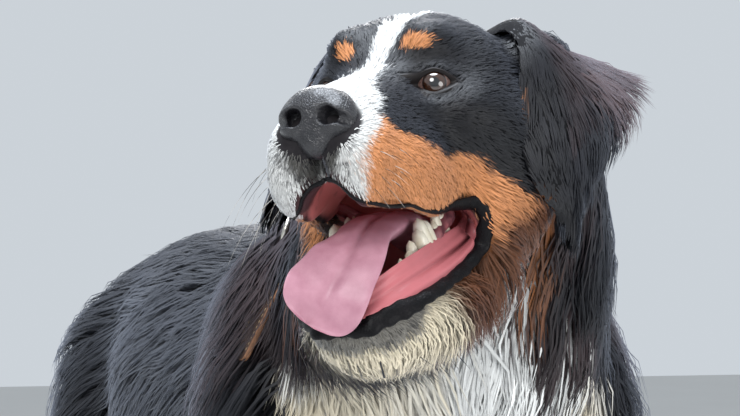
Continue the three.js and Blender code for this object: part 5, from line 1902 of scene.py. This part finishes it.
def eye_material():
    s = Shader("eye", Roughness=0.03, Specular_IOR_Level=0.7, Coat_Weight=1.0, Coat_Roughness=0.02)
    strand = s.attribute("strand").outputs["Vector"]
    angle = s.node("SeparateXYZ", {"Vector": strand}).outputs[0]
    rays = s.node("Mapping", {"Vector": strand, "Scale": (1.2, 9.0, 9.0)}).outputs[0]
    streaks = s.noise(1.3, 3.0, rays)
    iris = s.mix(streaks, (0.010, 0.004, 0.002, 1), (0.060, 0.021, 0.008, 1))
    pupil = s.remap(angle, 0.235, 0.275)
    iris = s.mix(pupil, (0.0015, 0.0015, 0.002, 1), iris)
    limbus = s.remap(angle, 0.50, 0.60)
    iris = s.mix(limbus, iris, (0.006, 0.004, 0.004, 1))
    veins = s.noise(900, 3.0, s.place())
    white = s.mix(s.remap(veins, 0.45, 0.7), (0.15, 0.10, 0.085, 1), (0.10, 0.035, 0.03, 1))
    rim = s.remap(angle, 0.62, 0.70)
    s.set(Base_Color=s.mix(rim, iris, white))
    return s.material


def wet_material(name, dark, light, bumps, strength, roughness=0.34, wet=0.3, level=0.4):
    s = Shader(name, Roughness=roughness, Specular_IOR_Level=level, Coat_Weight=wet, Coat_Roughness=0.2)
    place = s.place()
    tone = s.noise(90, 5.0, place)
    s.set(Base_Color=s.mix(s.remap(tone, 0.3, 0.7), (*dark, 1), (*light, 1)))
    s.bump(s.noise(bumps, 3.0, place), strength, 0.0006)
    return s.material


def leather_material():
    s = Shader("leather", Roughness=0.55, Specular_IOR_Level=0.3)
    place = s.place()
    grain = s.node("TexVoronoi", {"Vector": place, "Scale": 900.0}).outputs["Distance"]
    tone = s.noise(160, 5.0, place)
    colour = s.attribute("coat").outputs["Color"]
    s.set(Base_Color=s.tint(colour, s.remap(tone, 0.3, 0.7, 0.65, 1.3)))
    s.bump(grain, 0.3, 0.0004)
    return s.material


def two_tones(name, dark, light, noise, limits=None, bump=None, **values):
    """A material of two colours, blended by noise, between two limits of it if they are given."""
    s = Shader(name, **values)
    tone = s.noise(*noise, s.place())
    share = s.remap(tone, *limits) if limits else tone
    s.set(Base_Color=s.mix(share, (*dark, 1), (*light, 1)))
    if bump:
        s.bump(tone, *bump)
    return s.material


def add_piece(name, shape, material, slot, replaces=(), colours=None, **more):
    """One hard or wet piece that rides with the dog."""
    obj = mesh_object(name, *shape, colours, **more)
    obj.data.materials.append(material)
    if replaces:
        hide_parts(*replaces)
    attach(obj, "root")
    return obj


def placed(points, faces):
    """A shape of the head's frame in the dog's frame."""
    return from_head(points), faces


def even(colour, shape):
    """One colour for all points of a shape."""
    return np.tile(colour, (len(shape[0]), 1))


# Colours of the cheek's lining and of the painted shade in its crease, of the leather and of the painted
# highlight on its edges, and of the thread
LINING, CREASE_SHADE = np.array([0.50, 0.15, 0.165]), np.array([0.07, 0.012, 0.015])
LEATHER, EDGE_HIGHLIGHT = np.array([0.045, 0.022, 0.014]), np.array([0.22, 0.105, 0.055])
THREAD = np.array([0.30, 0.21, 0.12])


def small_pieces(skin_matter):
    """Eyes, nose, mouth, collar, claws and whiskers."""
    iris = eye_material()
    for name, side in SIDES.items():
        *shape, strand = eyeball(side)
        add_piece(f"eyeball_{name}", shape, iris, "eye", (f"eye_{name}",), strand=strand)
    nose = placed(*surface(nose_form, *NOSE_BOX, NOSE_CELL))
    add_piece("nose_skin", nose, nose_material(), "nose_leather", ("nose",))
    dark_lip = wet_material("lip", (0.002, 0.002, 0.0025), (0.006, 0.005, 0.006), 700, 0.8, 0.4, 0.02, 0.12)
    add_piece("lips", placed(*joined([lip_band(1), lip_band(-1)])), dark_lip, "jaw")
    for name, side in SIDES.items():
        *shape, deep = lining_points(side)
        # painted shade darkens the lining in its crease
        tint = lay(even(LINING, shape), CREASE_SHADE, deep)
        add_piece(f"cheek_lining_{name}", placed(*shape), skin_matter, "jaw", (), tint,
                  wet=np.ones(len(deep)))
    ivory = wet_material("tooth", (0.62, 0.55, 0.40), (0.80, 0.76, 0.66), 300, 0.1, 0.25)
    add_piece("teeth", placed(*teeth_points()), ivory, "jaw")
    gum = wet_material("gum", (0.10, 0.035, 0.045), (0.50, 0.17, 0.18), 400, 0.4, 0.3)
    add_piece("gums", placed(*gum_points()), gum, "jaw")
    pink = wet_material("tongue_skin", (0.40, 0.18, 0.235), (0.50, 0.25, 0.31), 1500, 0.35, 0.4, 0.15, 0.34)
    add_piece("tongue_skin", placed(*tongue_points()), pink, "tongue", ("tongue",))
    leather = leather_material()
    band, thread = collar_band(), stitches()
    add_piece("collar_band", band, leather, "collar_leather", ("collar",), even(LEATHER, band))
    *shape, edge = strap_end()
    # painted highlight on the strap's edges
    tint = np.where(edge[:, None], EDGE_HIGHLIGHT, LEATHER)
    add_piece("strap_end", shape, leather, "collar_leather", ("collar_end",), tint)
    add_piece("strap_thread", thread, leather, "collar_leather", (), even(THREAD, thread))
    metal = two_tones("metal", (0.48, 0.45, 0.40), (0.66, 0.63, 0.57), (400, 4.0),
                      bump=(0.12, 0.0003), Metallic=1.0, Roughness=0.28)
    add_piece("buckle", buckle_points(), metal, "buckle_metal", ("collar_buckle",))
    horn = two_tones("horn", (0.012, 0.010, 0.009), (0.06, 0.05, 0.045), (220, 4.0),
                     bump=(0.25, 0.0004), Roughness=0.4, Specular_IOR_Level=0.5)
    add_piece("claws", claw_points(), horn, "coat_rust")
    hair = two_tones("whisker", (0.03, 0.028, 0.028), (0.55, 0.52, 0.47), (60, 2.0),
                     limits=(0.45, 0.55), Roughness=0.4, Specular_IOR_Level=0.4)
    add_piece("whiskers", placed(*whisker_points()), hair, "coat_black")


ear_parts = {name: ear_skin(shape) for name, shape in EARS.items()}
coat_pieces = head_coat() + body_coat()
for name, shape in EARS.items():
    coat_pieces.append(ear_coat(f"ear_{name}", shape))

all_points, all_faces = joined([(skin_points, skin_faces), *ear_parts.values()])
wet_share, _ = mouth_wet(all_points)
all_lids = np.append(lid_share, np.zeros(len(all_points) - len(skin_points)))
skin_tint = lay(skin_colour(all_points), LID_BLACK, all_lids)
skin = mesh_object("skin", all_points, all_faces, skin_tint, wet=np.maximum(wet_share, all_lids * 0.8))
skin_matter = skin_material()
skin.data.materials.append(skin_matter)
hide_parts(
    "torso", "neck", "tail", "foreleg_left", "foreleg_right", "hindleg_left", "hindleg_right",
    "hind_foot_left", "hind_foot_right", "head", "ear_left", "ear_right", "lower_jaw",
)
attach(skin, "root")
for piece in coat_pieces:
    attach(piece, "root")
small_pieces(skin_matter)


# Stage, light and camera
PHOTO_PX = (740, 416)
CAMERA = {"azimuth": -17, "elevation": 0.56, "distance": 2500, "focal_px": 3875, "eyes_px": (381.6, 88.3)}
SENSOR = 36
FLOOR_HALF = 9000.0
WORLD_LIGHT = ((0.80, 0.86, 0.92, 1), 0.75)
# Lights in metres and watts: place, target, size, power and colour
LIGHTS = {
    "key": ((-1.6, -2.4, 2.6), (0, -0.2, 0.5), 1.6, 62, (1, 1, 1)),
    "top": ((-0.1, -0.2, 2.9), (0, -0.3, 0.5), 1.8, 110, (0.84, 0.91, 1)),
    "fill": ((1.6, -3.0, 1.0), (0, -0.2, 0.5), 1.8, 36, (1, 1, 1)),
    "back": ((0.8, 2.4, 2.4), (0, 0, 0.5), 1.6, 60, (1, 1, 1)),
}


def make_camera():
    """A camera that sees the middle of the eyes where the photo has it."""
    az, el = math.radians(CAMERA["azimuth"]), math.radians(CAMERA["elevation"])
    view = np.array([-math.sin(az) * math.cos(el), math.cos(az) * math.cos(el), -math.sin(el)])
    right = np.array([math.cos(az), math.sin(az), 0])
    up = np.cross(right, view)
    focal = CAMERA["focal_px"]
    px, py = CAMERA["eyes_px"]
    ray = view + right * (px - PHOTO_PX[0] / 2) / focal - up * (py - PHOTO_PX[1] / 2) / focal
    place = EYES_MID + SHIFT - ray * CAMERA["distance"]
    camera = bpy.data.objects.new("camera", bpy.data.cameras.new("camera"))
    matrix = Matrix(np.stack([right, up, -view], 1).tolist()).to_4x4()
    matrix.translation = Vector(place / 1000)
    camera.matrix_world = matrix
    camera.data.sensor_width = SENSOR
    camera.data.lens = focal / PHOTO_PX[0] * SENSOR
    camera.data.clip_end = 100
    bpy.context.scene.collection.objects.link(camera)
    bpy.context.scene.camera = camera


def area_light(name, place, target, size, power, colour):
    """A round lamp that faces its target."""
    light = bpy.data.lights.new(name, "AREA")
    light.shape = "DISK"
    light.size = size
    light.energy = power
    light.color = colour
    obj = bpy.data.objects.new(name, light)
    obj.location = place
    obj.rotation_euler = (Vector(target) - Vector(place)).to_track_quat("-Z", "Y").to_euler()
    bpy.context.scene.collection.objects.link(obj)


def make_stage():
    """Floor, sky light and lamps."""
    points = np.array([(x, y, 0) for x, y in ((-1, -1), (1, -1), (1, 1), (-1, 1))]) * FLOOR_HALF
    floor = mesh_object("floor", points - SHIFT, np.array([[0, 1, 2, 3]]), smooth=False)
    floor.data.materials.append(
        two_tones("floor", (0.56, 0.56, 0.55), (0.61, 0.61, 0.60), (3.0, 5.0), Roughness=0.75)
    )
    world = bpy.data.worlds.new("studio")
    world.use_nodes = True
    sky = world.node_tree.nodes["Background"].inputs
    sky["Color"].default_value, sky["Strength"].default_value = WORLD_LIGHT
    bpy.context.scene.world = world
    bpy.context.scene.view_settings.view_transform = "Standard"
    for name, light in LIGHTS.items():
        area_light(name, *light)


make_camera()
make_stage()
